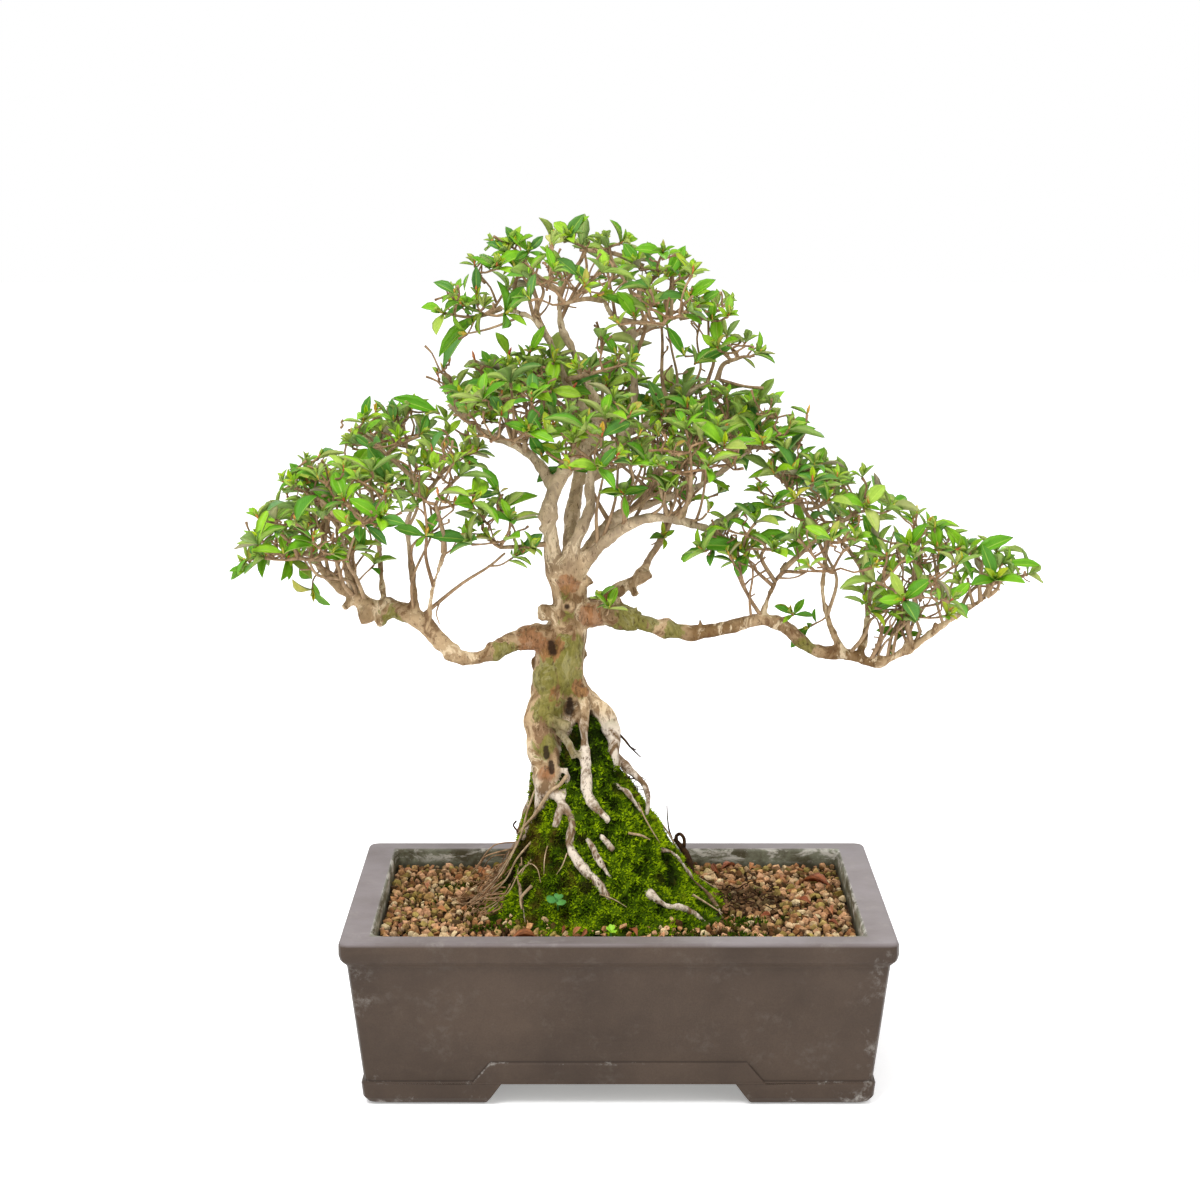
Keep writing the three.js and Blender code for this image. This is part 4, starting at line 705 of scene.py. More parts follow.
def new_node(tree, kind, inputs=(), **settings):
    """A node with its settings, and its inputs by name or number."""
    node = tree.nodes.new(kind)
    for key, value in settings.items():
        setattr(node, key, value)
    for key, value in dict(inputs).items():
        wire(tree, value, node.inputs[key])
    return node


def new_tree(name, *inputs):
    """A geometry tree with named inputs [name, socket type, value], and what its input node gives."""
    tree = bpy.data.node_groups.new(name, "GeometryNodeTree")
    for label, kind, value in (("Geometry", "Geometry", None), *inputs, ("Material", "Material", None)):
        socket = tree.interface.new_socket(name=label, in_out="INPUT", socket_type="NodeSocket" + kind)
        if value is not None:
            socket.default_value = value
    tree.interface.new_socket(name="Geometry", in_out="OUTPUT", socket_type="NodeSocketGeometry")
    return tree, tree.nodes.new("NodeGroupInput").outputs


def named_value(tree, name, kind="FLOAT"):
    return new_node(tree, "GeometryNodeInputNamedAttribute", {"Name": name},
                    data_type=kind).outputs["Attribute"]


def random_value(tree, kind, low, high, seed):
    node = new_node(tree, "FunctionNodeRandomValue", data_type=kind)
    live = {socket.name: socket for socket in node.inputs if socket.enabled}
    for key, value in (("Min", low), ("Max", high), ("Seed", seed)):
        wire(tree, value, live[key])
    return [socket for socket in node.outputs if socket.enabled][0]


def finish_tree(tree, given, geometry):
    """Ends a tree in Realize Instances and Set Material."""
    real = new_node(tree, "GeometryNodeRealizeInstances", {"Geometry": geometry})
    paint = new_node(tree, "GeometryNodeSetMaterial", {
        "Geometry": real.outputs[0], "Material": given["Material"]})
    new_node(tree, "NodeGroupOutput", {"Geometry": paint.outputs[0]})
    return tree


def sweep_tree():
    """Round tubes along chains, as thick as the chains say."""
    tree, given = new_tree("sweep_round", ("Sides", "Int", 6))
    curve = new_node(tree, "GeometryNodeMeshToCurve", {"Mesh": given["Geometry"]}).outputs[0]
    thick = new_node(tree, "GeometryNodeSetCurveRadius", {
        "Curve": curve, "Radius": named_value(tree, "thick")})
    ring = new_node(tree, "GeometryNodeCurvePrimitiveCircle", {"Resolution": given["Sides"], "Radius": 1.0})
    tube = new_node(tree, "GeometryNodeCurveToMesh", {
        "Curve": thick.outputs[0], "Profile Curve": ring.outputs[0], "Fill Caps": True})
    if "Scale" in tube.inputs:
        wire(tree, named_value(tree, "thick"), tube.inputs["Scale"])
    smooth = new_node(tree, "GeometryNodeSetShadeSmooth", {"Geometry": tube.outputs[0]})
    return finish_tree(tree, given, smooth.outputs[0])


def shape_sockets(count):
    return [("Shape %d" % k, "Object", None) for k in range(1, count + 1)]


def instanced(tree, given, count, points, inputs):
    """One of the shapes given to a tree on each point."""
    gather = tree.nodes.new("GeometryNodeJoinGeometry")
    for label, _, _ in reversed(shape_sockets(count)):
        info = new_node(tree, "GeometryNodeObjectInfo", {"Object": given[label], "As Instance": True})
        tree.links.new(info.outputs["Geometry"], gather.inputs[0])
    inputs = {"Points": points, "Instance": gather.outputs[0], "Pick Instance": True, **inputs}
    return new_node(tree, "GeometryNodeInstanceOnPoints", inputs).outputs["Instances"]


def place_tree(count):
    """A shape on every point, turned, sized and chosen as the point says."""
    tree, given = new_tree("place_shapes_%d" % count, *shape_sockets(count))
    return finish_tree(tree, given, instanced(tree, given, count, given["Geometry"], {
        "Instance Index": named_value(tree, "shape", "INT"),
        "Rotation": named_value(tree, "facing", "FLOAT_VECTOR"),
        "Scale": named_value(tree, "size", "FLOAT_VECTOR"),
    }))


def scatter_tree(count, upright):
    """Shapes strewn over a surface, no two closer than a spacing, thinner where its density is low."""
    tree, given = new_tree(
        "strew_upright" if upright else "strew_tumbled", *shape_sockets(count), ("Spacing", "Float", 0.004),
        ("Most per square metre", "Float", 90000.0), ("Smallest", "Float", 0.7), ("Largest", "Float", 1.3),
        ("Seed", "Int", 3))
    strew = new_node(tree, "GeometryNodeDistributePointsOnFaces", distribute_method="POISSON")
    for key, value in (("Mesh", given["Geometry"]), ("Distance Min", given["Spacing"]),
                       ("Density Max", given["Most per square metre"]),
                       ("Density Factor", named_value(tree, "density")), ("Seed", given["Seed"])):
        wire(tree, value, strew.inputs[key])
    low, high = ((-0.4, -0.4, 0), (0.4, 0.4, TURN)) if upright else ((0, 0, 0), (TURN, TURN, TURN))
    turned = random_value(tree, "FLOAT_VECTOR", low, high, 11)
    if upright:
        turned = new_node(tree, "FunctionNodeRotateRotation", {
            "Rotation": strew.outputs["Rotation"], "Rotate By": turned}, rotation_space="LOCAL").outputs[0]
    size = random_value(tree, "FLOAT", given["Smallest"], given["Largest"], 12)
    pieces = instanced(tree, given, count, strew.outputs["Points"], {"Rotation": turned, "Scale": size})
    tint = new_node(tree, "GeometryNodeStoreNamedAttribute", {
        "Geometry": pieces, "Name": "tint", "Value": random_value(tree, "FLOAT", 0.0, 1.0, 13),
    }, data_type="FLOAT", domain="INSTANCE")
    return finish_tree(tree, given, tint.outputs[0])


def grown(name, mesh, tree, values, extra=()):
    """A piece made by a geometry tree over a mesh, with the modifiers' result as a plain mesh."""
    piece = linked(name, mesh)
    modifier = piece.modifiers.new("grow", "NODES")
    modifier.node_group = tree
    sockets = {item.name: item.identifier for item in tree.interface.items_tree if item.in_out == "INPUT"}
    for label, value in values.items():
        modifier[sockets[label]] = value
    for kind, settings in extra:
        after = piece.modifiers.new(kind.lower(), kind)
        for key, value in settings.items():
            setattr(after, key, value)
    return baked(piece)


def baked(piece):
    """Applies what the modifiers make of a piece as its own plain mesh."""
    bpy.context.view_layer.update()
    graph = bpy.context.evaluated_depsgraph_get()
    made = bpy.data.meshes.new_from_object(piece.evaluated_get(graph))
    made.name = piece.name
    piece.modifiers.clear()
    piece.data = made
    return piece


# ---------------------------------------------------------------- finishes


def srgb(red, green, blue):
    """A colour as seen, 0 to 255, as the shader's linear value."""
    def linear(value):
        value /= 255
        return value / 12.92 if value <= 0.04045 else ((value + 0.055) / 1.055) ** 2.4
    return (linear(red), linear(green), linear(blue), 1.0)


# Places of the colour sockets on a Mix node.
MIX_SHARE, MIX_A, MIX_B, MIX_RESULT = 0, 6, 7, 2


class Value:
    """What a finish's node gives, ready for sums."""

    def __init__(self, finish, socket):
        self.finish = finish
        self.socket = socket

    def __add__(self, other):
        return self.finish.math("ADD", self, other)

    def __sub__(self, other):
        return self.finish.math("SUBTRACT", self, other)

    def __mul__(self, other):
        return self.finish.math("MULTIPLY", self, other)

    def __abs__(self):
        return self.finish.math("ABSOLUTE", self)


class Finish:
    """A material and short ways to add its nodes."""

    def __init__(self, name, **constants):
        self.material = bpy.data.materials.new(name)
        self.material.use_nodes = True
        self.tree = self.material.node_tree
        self.shader = self.tree.nodes["Principled BSDF"]
        for key, value in constants.items():
            self.shader.inputs[key.replace("_", " ")].default_value = value
        self.place = self.node("TexCoord", "Object")

    def node(self, kind, output, inputs=(), **settings):
        return Value(self, new_node(self.tree, "ShaderNode" + kind, inputs, **settings).outputs[output])

    def stretched(self, x, y, z):
        """Object coordinates scaled along each axis."""
        return self.node("Mapping", "Vector", {"Vector": self.place, "Scale": (x, y, z)})

    def noise(self, scale, detail=4.0, rough=0.55, vector=None, warp=0.0):
        return self.node("TexNoise", "Fac", {"Vector": vector or self.place, "Scale": scale, "Detail": detail,
                                             "Roughness": rough, "Distortion": warp})

    def cells(self, scale):
        return self.node("TexVoronoi", "Distance", {"Vector": self.place, "Scale": scale})

    def attribute(self, name):
        return self.node("Attribute", "Fac", attribute_name=name)

    def parts(self, vector):
        nodes = self.node("SeparateXYZ", "X", {"Vector": vector}).socket.node
        return [Value(self, nodes.outputs[axis]) for axis in "XYZ"]

    def uv(self):
        return self.parts(self.node("UVMap", "UV", uv_map="blade"))

    def spots(self, places, vector=None):
        """1 at the middle of the nearest spot, 0 at its reach and less beyond."""
        best = None
        for *middle, reach in places:
            away = self.node("VectorMath", "Value", {0: vector or self.place, 1: metres(middle)[0]},
                             operation="DISTANCE")
            share = self.span(away, 0.0, reach * MM, 1.0, 0.0, clamp=False)
            best = share if best is None else self.most(best, share)
        return best

    def math(self, operation, a, b=0.0, clamp=False):
        return self.node("Math", "Value", {0: a, 1: b}, operation=operation, use_clamp=clamp)

    def most(self, a, b):
        return self.math("MAXIMUM", a, b)

    def span(self, value, low, high, to_low=0.0, to_high=1.0, clamp=True):
        """A value's place between two others, clamped, as 0 to 1 or another range."""
        return self.node("MapRange", "Result", {
            "Value": value, "From Min": low, "From Max": high, "To Min": to_low, "To Max": to_high,
        }, clamp=clamp)

    def ramp(self, value, *stops):
        """Colours along a value: [place, red, green, blue]."""
        colour = self.node("ValToRGB", "Color", {"Fac": value})
        row = colour.socket.node.color_ramp.elements
        while len(row) < len(stops):
            row.new(0.5)
        for element, (position, *tone) in zip(row, stops):
            element.position = position
            element.color = srgb(*tone)
        return colour

    def mix(self, share, a, b, blend="MIX"):
        """Two colours mixed; three numbers are a colour as seen, four a linear one."""
        a, b = (srgb(*tone) if isinstance(tone, tuple) and len(tone) == 3 else tone for tone in (a, b))
        return self.node("Mix", MIX_RESULT, {MIX_SHARE: share, MIX_A: a, MIX_B: b}, data_type="RGBA",
                         blend_type=blend, clamp_factor=True)

    def bump(self, height, distance, strength=1.0, under=None):
        return self.node("Bump", "Normal", {"Strength": strength, "Distance": distance, "Height": height,
                                            "Normal": under})

    def finish(self, colour, roughness, normal):
        for key, value in (("Base Color", colour), ("Roughness", roughness), ("Normal", normal)):
            wire(self.tree, value, self.shader.inputs[key])
        return self.material


def fired_clay():
    """Unglazed brown-grey stoneware with a painted pale reflection on its rim top, painted shade in the
    crease over its moulding, and pale bloom at its edges and corners.
    """
    f = Finish("fired_clay", Specular_IOR_Level=0.2)
    x, y, z = f.parts(f.place)
    cloud = f.noise(14, 5, 0.6)
    smear = f.noise(9, 6, 0.65, f.stretched(1.0, 1.0, 4.0), 0.6)
    grain = f.noise(900, 3, 0.7)
    body = f.mix(f.span(cloud, 0.35, 0.68), (63, 51, 42), (79, 65, 54))
    body = f.mix(f.span(smear, 0.55, 0.8, 0, 0.35), body, (94, 80, 68))
    body = f.mix(f.span(grain, 0.3, 0.75, 0, 0.35), body, (50, 40, 34))
    # Painted reflection: the rim's top is painted a paler grey-violet, as the light from above shows on it.
    rim_top = f.span(z, 0.1075, 0.1095)
    rim = f.mix(f.span(cloud, 0.35, 0.7), (128, 120, 121), (104, 94, 92))
    body = f.mix(rim_top, body, rim)
    off_x = abs(x - CENTRE_SHIFT_X * MM)
    off_y = abs(y)
    patches = f.span(f.noise(38, 6, 0.7, None, 0.4), 0.53, 0.64)
    fine = f.span(f.noise(210, 4, 0.7), 0.42, 0.6)
    corner = f.span(off_x, 0.146, 0.166) * f.span(off_y, 0.092, 0.113)
    foot = f.span(z, 0.012, 0.002)
    ledge = f.span(off_x, 0.092, 0.081, 0.0155, 0.0287)
    ledge += f.span(off_x, 0.1565, 0.158) * f.span(off_y, 0.053, 0.042, 0.0, 0.0132)
    above = z - ledge
    moulding = f.span(above, -0.0016, -0.0006) * f.span(above, 0.0008, 0.0002)
    edge = f.most(f.most(corner * f.span(z, 0.07, 0.03, 0.4, 0.8), foot), moulding)
    edge = f.most(edge, rim_top * 0.28)
    edge = f.most(edge, 0.05)
    bloom = f.math("MULTIPLY", patches * fine, edge, True)
    # Painted shade: a dark line in the crease just above the moulding's ledge.
    crease = f.span(above, -0.0002, 0.0003) * f.span(above, 0.0016, 0.0008)
    body = f.mix(crease * 0.55, body, (40, 31, 25))
    colour = f.mix(bloom * 0.8, body, (176, 172, 165))
    inner = f.span(off_x, 0.157, 0.1555) * f.span(off_y, 0.1065, 0.105)
    algae = f.mix(f.span(f.noise(44, 5, 0.7), 0.42, 0.6), (84, 80, 60), (136, 138, 118))
    crust = f.span(f.noise(80, 6, 0.75, f.stretched(0.6, 0.6, 1.6), 0.5), 0.5, 0.6) * f.span(z, 0.099, 0.104)
    algae = f.mix(crust, algae, (214, 210, 200))
    algae = f.mix(f.span(z, 0.1015, 0.0985, 0, 0.6), algae, (52, 46, 30))
    colour = f.mix(inner * 0.85, colour, algae)
    normal = f.bump(grain, 0.0002, 0.35)
    normal = f.bump(cloud, 0.0014, 0.4, normal)
    return f.finish(colour, f.span(smear + bloom, 0.35, 1.0, 0.42, 0.8), normal)


def baked_granules():
    """Tan, peach and cream baked-clay granules with a few grey, brown and mossy ones; the darkest brown ones
    are partly painted shade for the gaps between granules.
    """
    f = Finish("baked_granules", Specular_IOR_Level=0.1)
    tint = f.attribute("tint")
    # The dark brown ends of the ramp are partly dark crumbs and partly painted shade for the gaps between the
    # granules.
    base = f.ramp(tint, (0.0, 60, 44, 28), (0.12, 144, 98, 62), (0.25, 214, 164, 120), (0.38, 236, 188, 156),
                  (0.5, 186, 128, 90), (0.62, 248, 230, 194), (0.73, 226, 174, 138), (0.83, 206, 186, 116),
                  (0.92, 128, 112, 60), (1.0, 56, 44, 30))
    fine = f.noise(520, 5, 0.7)
    pits = f.cells(700)
    base = f.mix(f.span(fine, 0.38, 0.62, 0.55, 0.0), base, (86, 56, 28))
    damp = f.noise(26, 3, 0.6) + f.noise(170, 4, 0.6) * 0.6
    base = f.mix(f.span(damp, 0.86, 1.0, 0, 0.5), base, (134, 128, 54))
    mulch = f.spots(((74, 10, 102, 44), (-92, 8, 103, 22))) + f.noise(120, 4, 0.7) * 0.9
    base = f.mix(f.span(mulch, 0.55, 0.8, 0, 0.72), base, (74, 55, 36))
    deep = f.span(f.parts(f.place)[2], 0.1024, 0.0986, 0, 0.55)
    base = f.mix(deep, f.mix(1.0, base, (1.0, 0.95, 0.82, 1.0), "MULTIPLY"), (62, 44, 26))
    normal = f.bump(pits, 0.0006, 0.5, f.bump(fine, 0.0008, 0.7))
    return f.finish(base, f.span(fine, 0.3, 0.7, 0.75, 0.95), normal)


def damp_soil():
    """Dark crumbs between and under the granules."""
    f = Finish("damp_soil", Specular_IOR_Level=0.1)
    crumb = f.noise(330, 5, 0.75)
    colour = f.mix(f.span(crumb, 0.35, 0.68), (34, 22, 12), (84, 56, 32))
    return f.finish(colour, f.span(crumb, 0.3, 0.7, 0.8, 0.95), f.bump(crumb, 0.002, 0.8))


def mesh_plastic():
    """Matt black moulded lattice with a fine mould grain and clay dust."""
    f = Finish("mesh_plastic", Specular_IOR_Level=0.4)
    grain = f.noise(1400, 3, 0.6)
    dust = f.span(f.noise(120, 5, 0.7), 0.5, 0.7, 0, 0.45)
    colour = f.mix(dust, (26, 28, 25), (120, 98, 76))
    return f.finish(colour, f.span(grain, 0.3, 0.7, 0.45, 0.6), f.bump(grain, 0.0001, 0.4))


def moss_finish(name, dark, middle, bright):
    """Velvety moss: painted light on its cushions and painted shade, near black, in its creases, with brown
    dead patches and dark spots of muck and painted shade.
    """
    f = Finish(name, Specular_IOR_Level=0.06)
    x, _, z = f.parts(f.place)
    patch = f.noise(34, 4, 0.6)
    fine = f.noise(420, 4, 0.7)
    # Painted light and shade: lighter on top of the cushions, darker in their creases.
    tone = f.attribute("lift") * 0.75
    tone += f.attribute("tint") * 0.42
    tone += patch * 0.7
    tone += fine * 0.25
    tone += f.span(z, 0.17, 0.215, 0, -0.3)
    colour = f.ramp(f.span(tone, 0.6, 1.6), (0.0, *dark), (0.42, *middle), (0.8, *bright), (1.0, *bright))
    brown = f.noise(30, 5, 0.7, f.stretched(1, 1, 0.6))
    brown += f.span(x, -0.03, -0.09, 0, 0.09)
    brown += f.span(z, 0.104, 0.098, 0, 0.05)
    colour = f.mix(f.span(brown, 0.58, 0.68, 0, 0.75), colour, (80, 58, 20))
    # Dark spots, partly muck and partly painted shade between the roots.
    muck_and_shade = f.spots(MUCK_AND_SHADE_SPOTS) + f.noise(120, 4, 0.7) * 0.9
    colour = f.mix(f.span(muck_and_shade, 0.6, 0.95, 0, 0.8), colour, (34, 26, 10))
    return f.finish(colour, f.span(fine, 0.3, 0.7, 0.75, 0.95), f.bump(fine, 0.0012, 0.7))


# Places on the wood, millimetres, with how far each reaches.
ALGAE_SPOTS = (
    (-34, -17, 272, 17), (-32, -17, 256, 14), (-47, -18, 256, 12), (-34, -15, 296, 7), (-43, -22, 236, 14),
    (-46, -27, 216, 10), (10, -10, 292, 15), (36, -12, 287, 8), (-74, -12, 274, 10), (-34, -14, 312, 6),
    (-3, -14, 222, 6), (-36, 14, 262, 18), (-30, 24, 226, 12), (120, -8, 276, 9), (-146, -6, 296, 8),
)
# Rusty bark, with some spots partly painted shade, such as the line under the trunk's swelling.
RUST_AND_SHADE_SPOTS = (
    (-57, -8, 281, 10), (-17, -8, 297, 8), (-32, -13, 318, 8), (-46, -30, 196, 6), (-40, -22, 246, 7),
    (-44, -14, 277, 8), (-24, -12, 250, 6), (-12, 14, 306, 9), (-60, 14, 230, 10), (-72, -32, 150, 16),
    (-80, -34, 126, 18), (-88, -26, 104, 20), (-60, -30, 172, 8), (-34, -40, 172, 6), (-4, -48, 146, 8),
    (20, -46, 130, 8), (60, -34, 118, 10), (40, -58, 106, 8), (-50, -60, 118, 6),
)
# Hollows as the front shows them, painted dark as shade: X, depth left at 0, height and reach.
HOLLOW_SHADE_SPOTS = (
    (-43.6, 0, 279, 3.4), (-43.2, 0, 276.5, 4.2), (-42.6, 0, 274, 3.6), (-31.3, 0, 242, 2.2),
    (-31.4, 0, 239.5, 3.0), (-31.6, 0, 237, 3.8), (-31.6, 0, 234, 4.4), (-33, 0, 304, 2.6),
    (-47, 0, 213, 2.4), (-46.8, 0, 211.2, 2.8), (-46.6, 0, 209.4, 2.8), (-46.4, 0, 207.6, 2.4),
    (-43.4, 0, 203, 2.3), (-43.2, 0, 201.2, 2.8), (-43.1, 0, 199.4, 2.8), (-43, 0, 197.6, 2.2),
)
STUMP_SPOTS = (
    (-31, -30, 227, 8), (-33, -27, 219, 8), (-29, -30, 209, 7), (-38, -26, 230, 8),
)
# Dark spots on the moss, partly muck and partly painted shade between the roots: X, depth, height and reach.
MUCK_AND_SHADE_SPOTS = (
    (-66, -20, 140, 13), (-74, -18, 127, 14), (-52, -28, 167, 7), (-23, -43, 157, 6), (-21, -59, 129, 7),
    (0, -26, 186, 7), (-58, -40, 126, 8), (26, -40, 128, 8), (-24, 40, 150, 9), (20, 24, 150, 8),
)


def azalea_bark():
    """Thin smooth bark, tan to cream, with algae on the trunk, rusty crotches partly painted as shade,
    painted shade in its hollows and roots weathered pale.
    """
    f = Finish("azalea_bark", Specular_IOR_Level=0.16)
    x, y, z = f.parts(f.place)
    broad = f.noise(30, 4, 0.6, None, 0.8)
    blotch = f.noise(85, 6, 0.68, f.stretched(1.0, 1.0, 0.6), 0.9)
    fine = f.noise(430, 5, 0.72, f.stretched(1.0, 1.0, 0.45), 0.4)

    def grained(dark, light):
        return f.mix(f.span(fine, 0.35, 0.65), dark, light)

    ragged = (blotch - 0.5) * 3.0
    skin = f.mix(f.span(broad, 0.4, 0.6), (122, 94, 60), (186, 158, 122))
    skin = f.mix(f.span(blotch, 0.53, 0.58, 0, 0.85), skin, (222, 200, 166))
    skin = f.mix(f.span(blotch, 0.45, 0.39, 0, 0.75), skin, (104, 72, 44))
    skin = f.mix(f.span(z, 0.315, 0.35, 0, 0.4), skin, (216, 198, 170))
    green = f.mix(f.span(fine, 0.38, 0.62), (90, 95, 30), (127, 123, 53))
    # Rust-brown bark, partly painted shade under the trunk's swelling.
    rust = grained((100, 60, 34), (160, 108, 68))
    for spots, colour in ((ALGAE_SPOTS, green), (RUST_AND_SHADE_SPOTS, rust)):
        skin = f.mix(f.span(f.spots(spots) + ragged, 0.0, 0.16, 0, 0.8), skin, colour)
    low = f.span(z, 0.196, 0.184)
    inner = f.span(z, 0.234, 0.222) * f.span(x, -0.052, -0.046)
    weathered = f.mix(f.span(blotch, 0.43, 0.55), (116, 92, 66), (218, 204, 186))
    weathered = f.mix(f.span(fine, 0.46, 0.34, 0, 0.85), weathered, (92, 68, 44))
    weathered = f.mix(f.span(f.spots(RUST_AND_SHADE_SPOTS) + ragged, 0.0, 0.5, 0, 0.8), weathered,
                      grained((84, 60, 38), (140, 112, 80)))
    brown_left = f.span(x, -0.066, -0.076) * f.span(z, 0.186, 0.176, 0, 0.75)
    weathered = f.mix(brown_left, weathered, grained((84, 60, 38), (150, 116, 78)))
    skin = f.mix(f.most(low, inner), skin, weathered)
    skin = f.mix(f.span(fine, 0.44, 0.36, 0, 0.7), skin, (78, 54, 30))
    stump = f.span(f.spots(STUMP_SPOTS) + ragged * 0.6, 0.0, 0.3, 0, 0.8)
    skin = f.mix(stump, skin, grained((92, 84, 48), (150, 136, 96)))
    # Painted shade: near black in the hollows and crevices facing the front.
    dark = f.spots(HOLLOW_SHADE_SPOTS, f.stretched(1, 0, 1)) + ragged * 0.4
    front = f.most(f.span(y, -0.002, -0.006) * f.span(y, -0.024, -0.021), f.span(z, 0.218, 0.214))
    front *= f.span(y, 0.0, -0.004)
    skin = f.mix(f.span(dark, 0.05, 0.5, 0, 0.92) * front, skin, (38, 24, 12))
    height = blotch * 0.9 + fine * 0.5
    return f.finish(skin, f.span(blotch, 0.35, 0.65, 0.82, 0.62), f.bump(height, 0.0018, 0.95))


def twig_finish():
    """Thin twig bark, from tan on the older stalks to red-brown on the young shoots."""
    f = Finish("twig_bark", Specular_IOR_Level=0.12)
    age = f.attribute("age")
    streak = f.noise(260, 5, 0.7, f.stretched(1, 1, 0.4))
    young = f.mix(f.span(streak, 0.35, 0.65), (98, 70, 48), (160, 122, 86))
    old = f.mix(f.span(streak, 0.35, 0.65), (134, 110, 82), (198, 172, 138))
    colour = f.mix(age, young, old)
    return f.finish(colour, 0.72, f.bump(streak, 0.0006, 0.7))


def leaf_finish():
    """Satin leaf: green above with a pale midrib and fine side veins, dull grey-green below."""
    f = Finish("azalea_leaf", Specular_IOR_Level=0.32)
    across, along, _ = f.uv()
    age = f.attribute("age")
    tint = f.attribute("tint")
    under = f.attribute("under")
    aside = abs(across - 0.5)
    slant = along * 13.0 - aside * 9.0
    ripple = abs(f.math("FRACT", slant) - 0.5)
    side_vein = f.span(ripple, 0.07, 0.0, 0, 0.4)
    midrib = f.span(aside, 0.055, 0.02)
    vein = f.most(midrib, side_vein)
    mottle = f.noise(320, 4, 0.6)
    mature = f.ramp(tint, (0.0, 70, 120, 58), (0.2, 64, 132, 30), (0.45, 84, 154, 12), (0.7, 112, 180, 8),
                    (0.88, 142, 198, 26), (1.0, 166, 184, 92))
    fresh = f.ramp(tint, (0.0, 168, 218, 20), (0.5, 206, 232, 30), (0.78, 230, 210, 50), (0.9, 234, 156, 70),
                   (1.0, 226, 112, 88))
    top = f.mix(age, mature, fresh)
    top = f.mix(f.span(mottle, 0.4, 0.65, 0, 0.25), top, (70, 126, 26))
    top = f.mix(vein * 0.45, top, (186, 216, 84))
    edge = f.span(aside, 0.44, 0.5, 0, 0.3)
    top = f.mix(edge, top, (160, 180, 60))
    dull = f.ramp(tint, (0.0, 126, 156, 84), (0.6, 146, 180, 72), (0.9, 164, 178, 96), (1.0, 152, 138, 118))
    bottom = f.mix(age * 0.7, dull, (176, 200, 66))
    bottom = f.mix(vein * 0.5, bottom, (184, 188, 124))
    colour = f.mix(under, top, bottom)
    rough = under * 0.25 + f.span(mottle, 0.3, 0.7, 0.38, 0.54)
    return f.finish(colour, rough, f.bump(vein * -1.0, 0.0003, 0.5))


def bud_finish():
    """Papery bud scales, yellow-green to orange-red."""
    f = Finish("bud_scales", Specular_IOR_Level=0.3)
    fine = f.noise(600, 3, 0.6)
    colour = f.ramp(f.attribute("tint"), (0.0, 196, 204, 70), (0.45, 214, 170, 70), (0.75, 208, 122, 66),
                    (1.0, 204, 84, 66))
    colour = f.mix(f.span(fine, 0.4, 0.65, 0, 0.4), colour, (120, 78, 44))
    return f.finish(colour, 0.55, f.bump(fine, 0.0003, 0.5))


def dry_leaf_finish():
    """Dry fallen leaves: rust to tan with darker veins."""
    f = Finish("dry_leaf", Specular_IOR_Level=0.3)
    across, _, _ = f.uv()
    aside = abs(across - 0.5)
    blotch = f.noise(160, 5, 0.7)
    colour = f.ramp(f.attribute("tint"), (0.0, 92, 44, 26), (0.5, 138, 72, 38), (1.0, 176, 120, 70))
    colour = f.mix(f.span(blotch, 0.45, 0.65, 0, 0.6), colour, (74, 44, 28))
    colour = f.mix(f.span(aside, 0.05, 0.02, 0, 0.5), colour, (190, 140, 90))
    return f.finish(colour, f.span(blotch, 0.3, 0.7, 0.5, 0.8), f.bump(blotch, 0.0006, 0.7))


def seedling_finish():
    """Fresh, thin seedling leaves and stems."""
    f = Finish("seedling_leaf", Specular_IOR_Level=0.25)
    fine = f.noise(500, 3, 0.6)
    colour = f.mix(f.attribute("tint"), (60, 124, 62), (158, 210, 36))
    colour = f.mix(f.span(fine, 0.35, 0.65, 0, 0.35), colour, (110, 166, 90))
    return f.finish(colour, 0.5, f.bump(fine, 0.0003, 0.4))


def floor_finish():
    """Matt white studio paper, lit from below as a light table."""
    f = Finish("white_paper", Specular_IOR_Level=0.1, Emission_Color=(1, 1, 1, 1), Emission_Strength=0.3)
    fibre = f.noise(60, 5, 0.6)
    return f.finish(f.mix(fibre, (244, 244, 245), (250, 250, 251)), 0.9, f.bump(fibre, 0.0002, 0.2))


# ---------------------------------------------------------------- small shapes that repeat


def from_lists(name, points, faces, smooth=True):
    made = bpy.data.meshes.new(name)
    made.from_pydata([tuple(p) for p in points], [], faces)
    made.update()
    made.polygons.foreach_set("use_smooth", [smooth] * len(made.polygons))
    return made


# Outline of a leaf: how far along it, and its half width there as a share of its breadth.
LEAF_ROWS = (
    (0.0, 0.05), (0.14, 0.17), (0.34, 0.4), (0.55, 0.5), (0.77, 0.38), (0.92, 0.15),
)


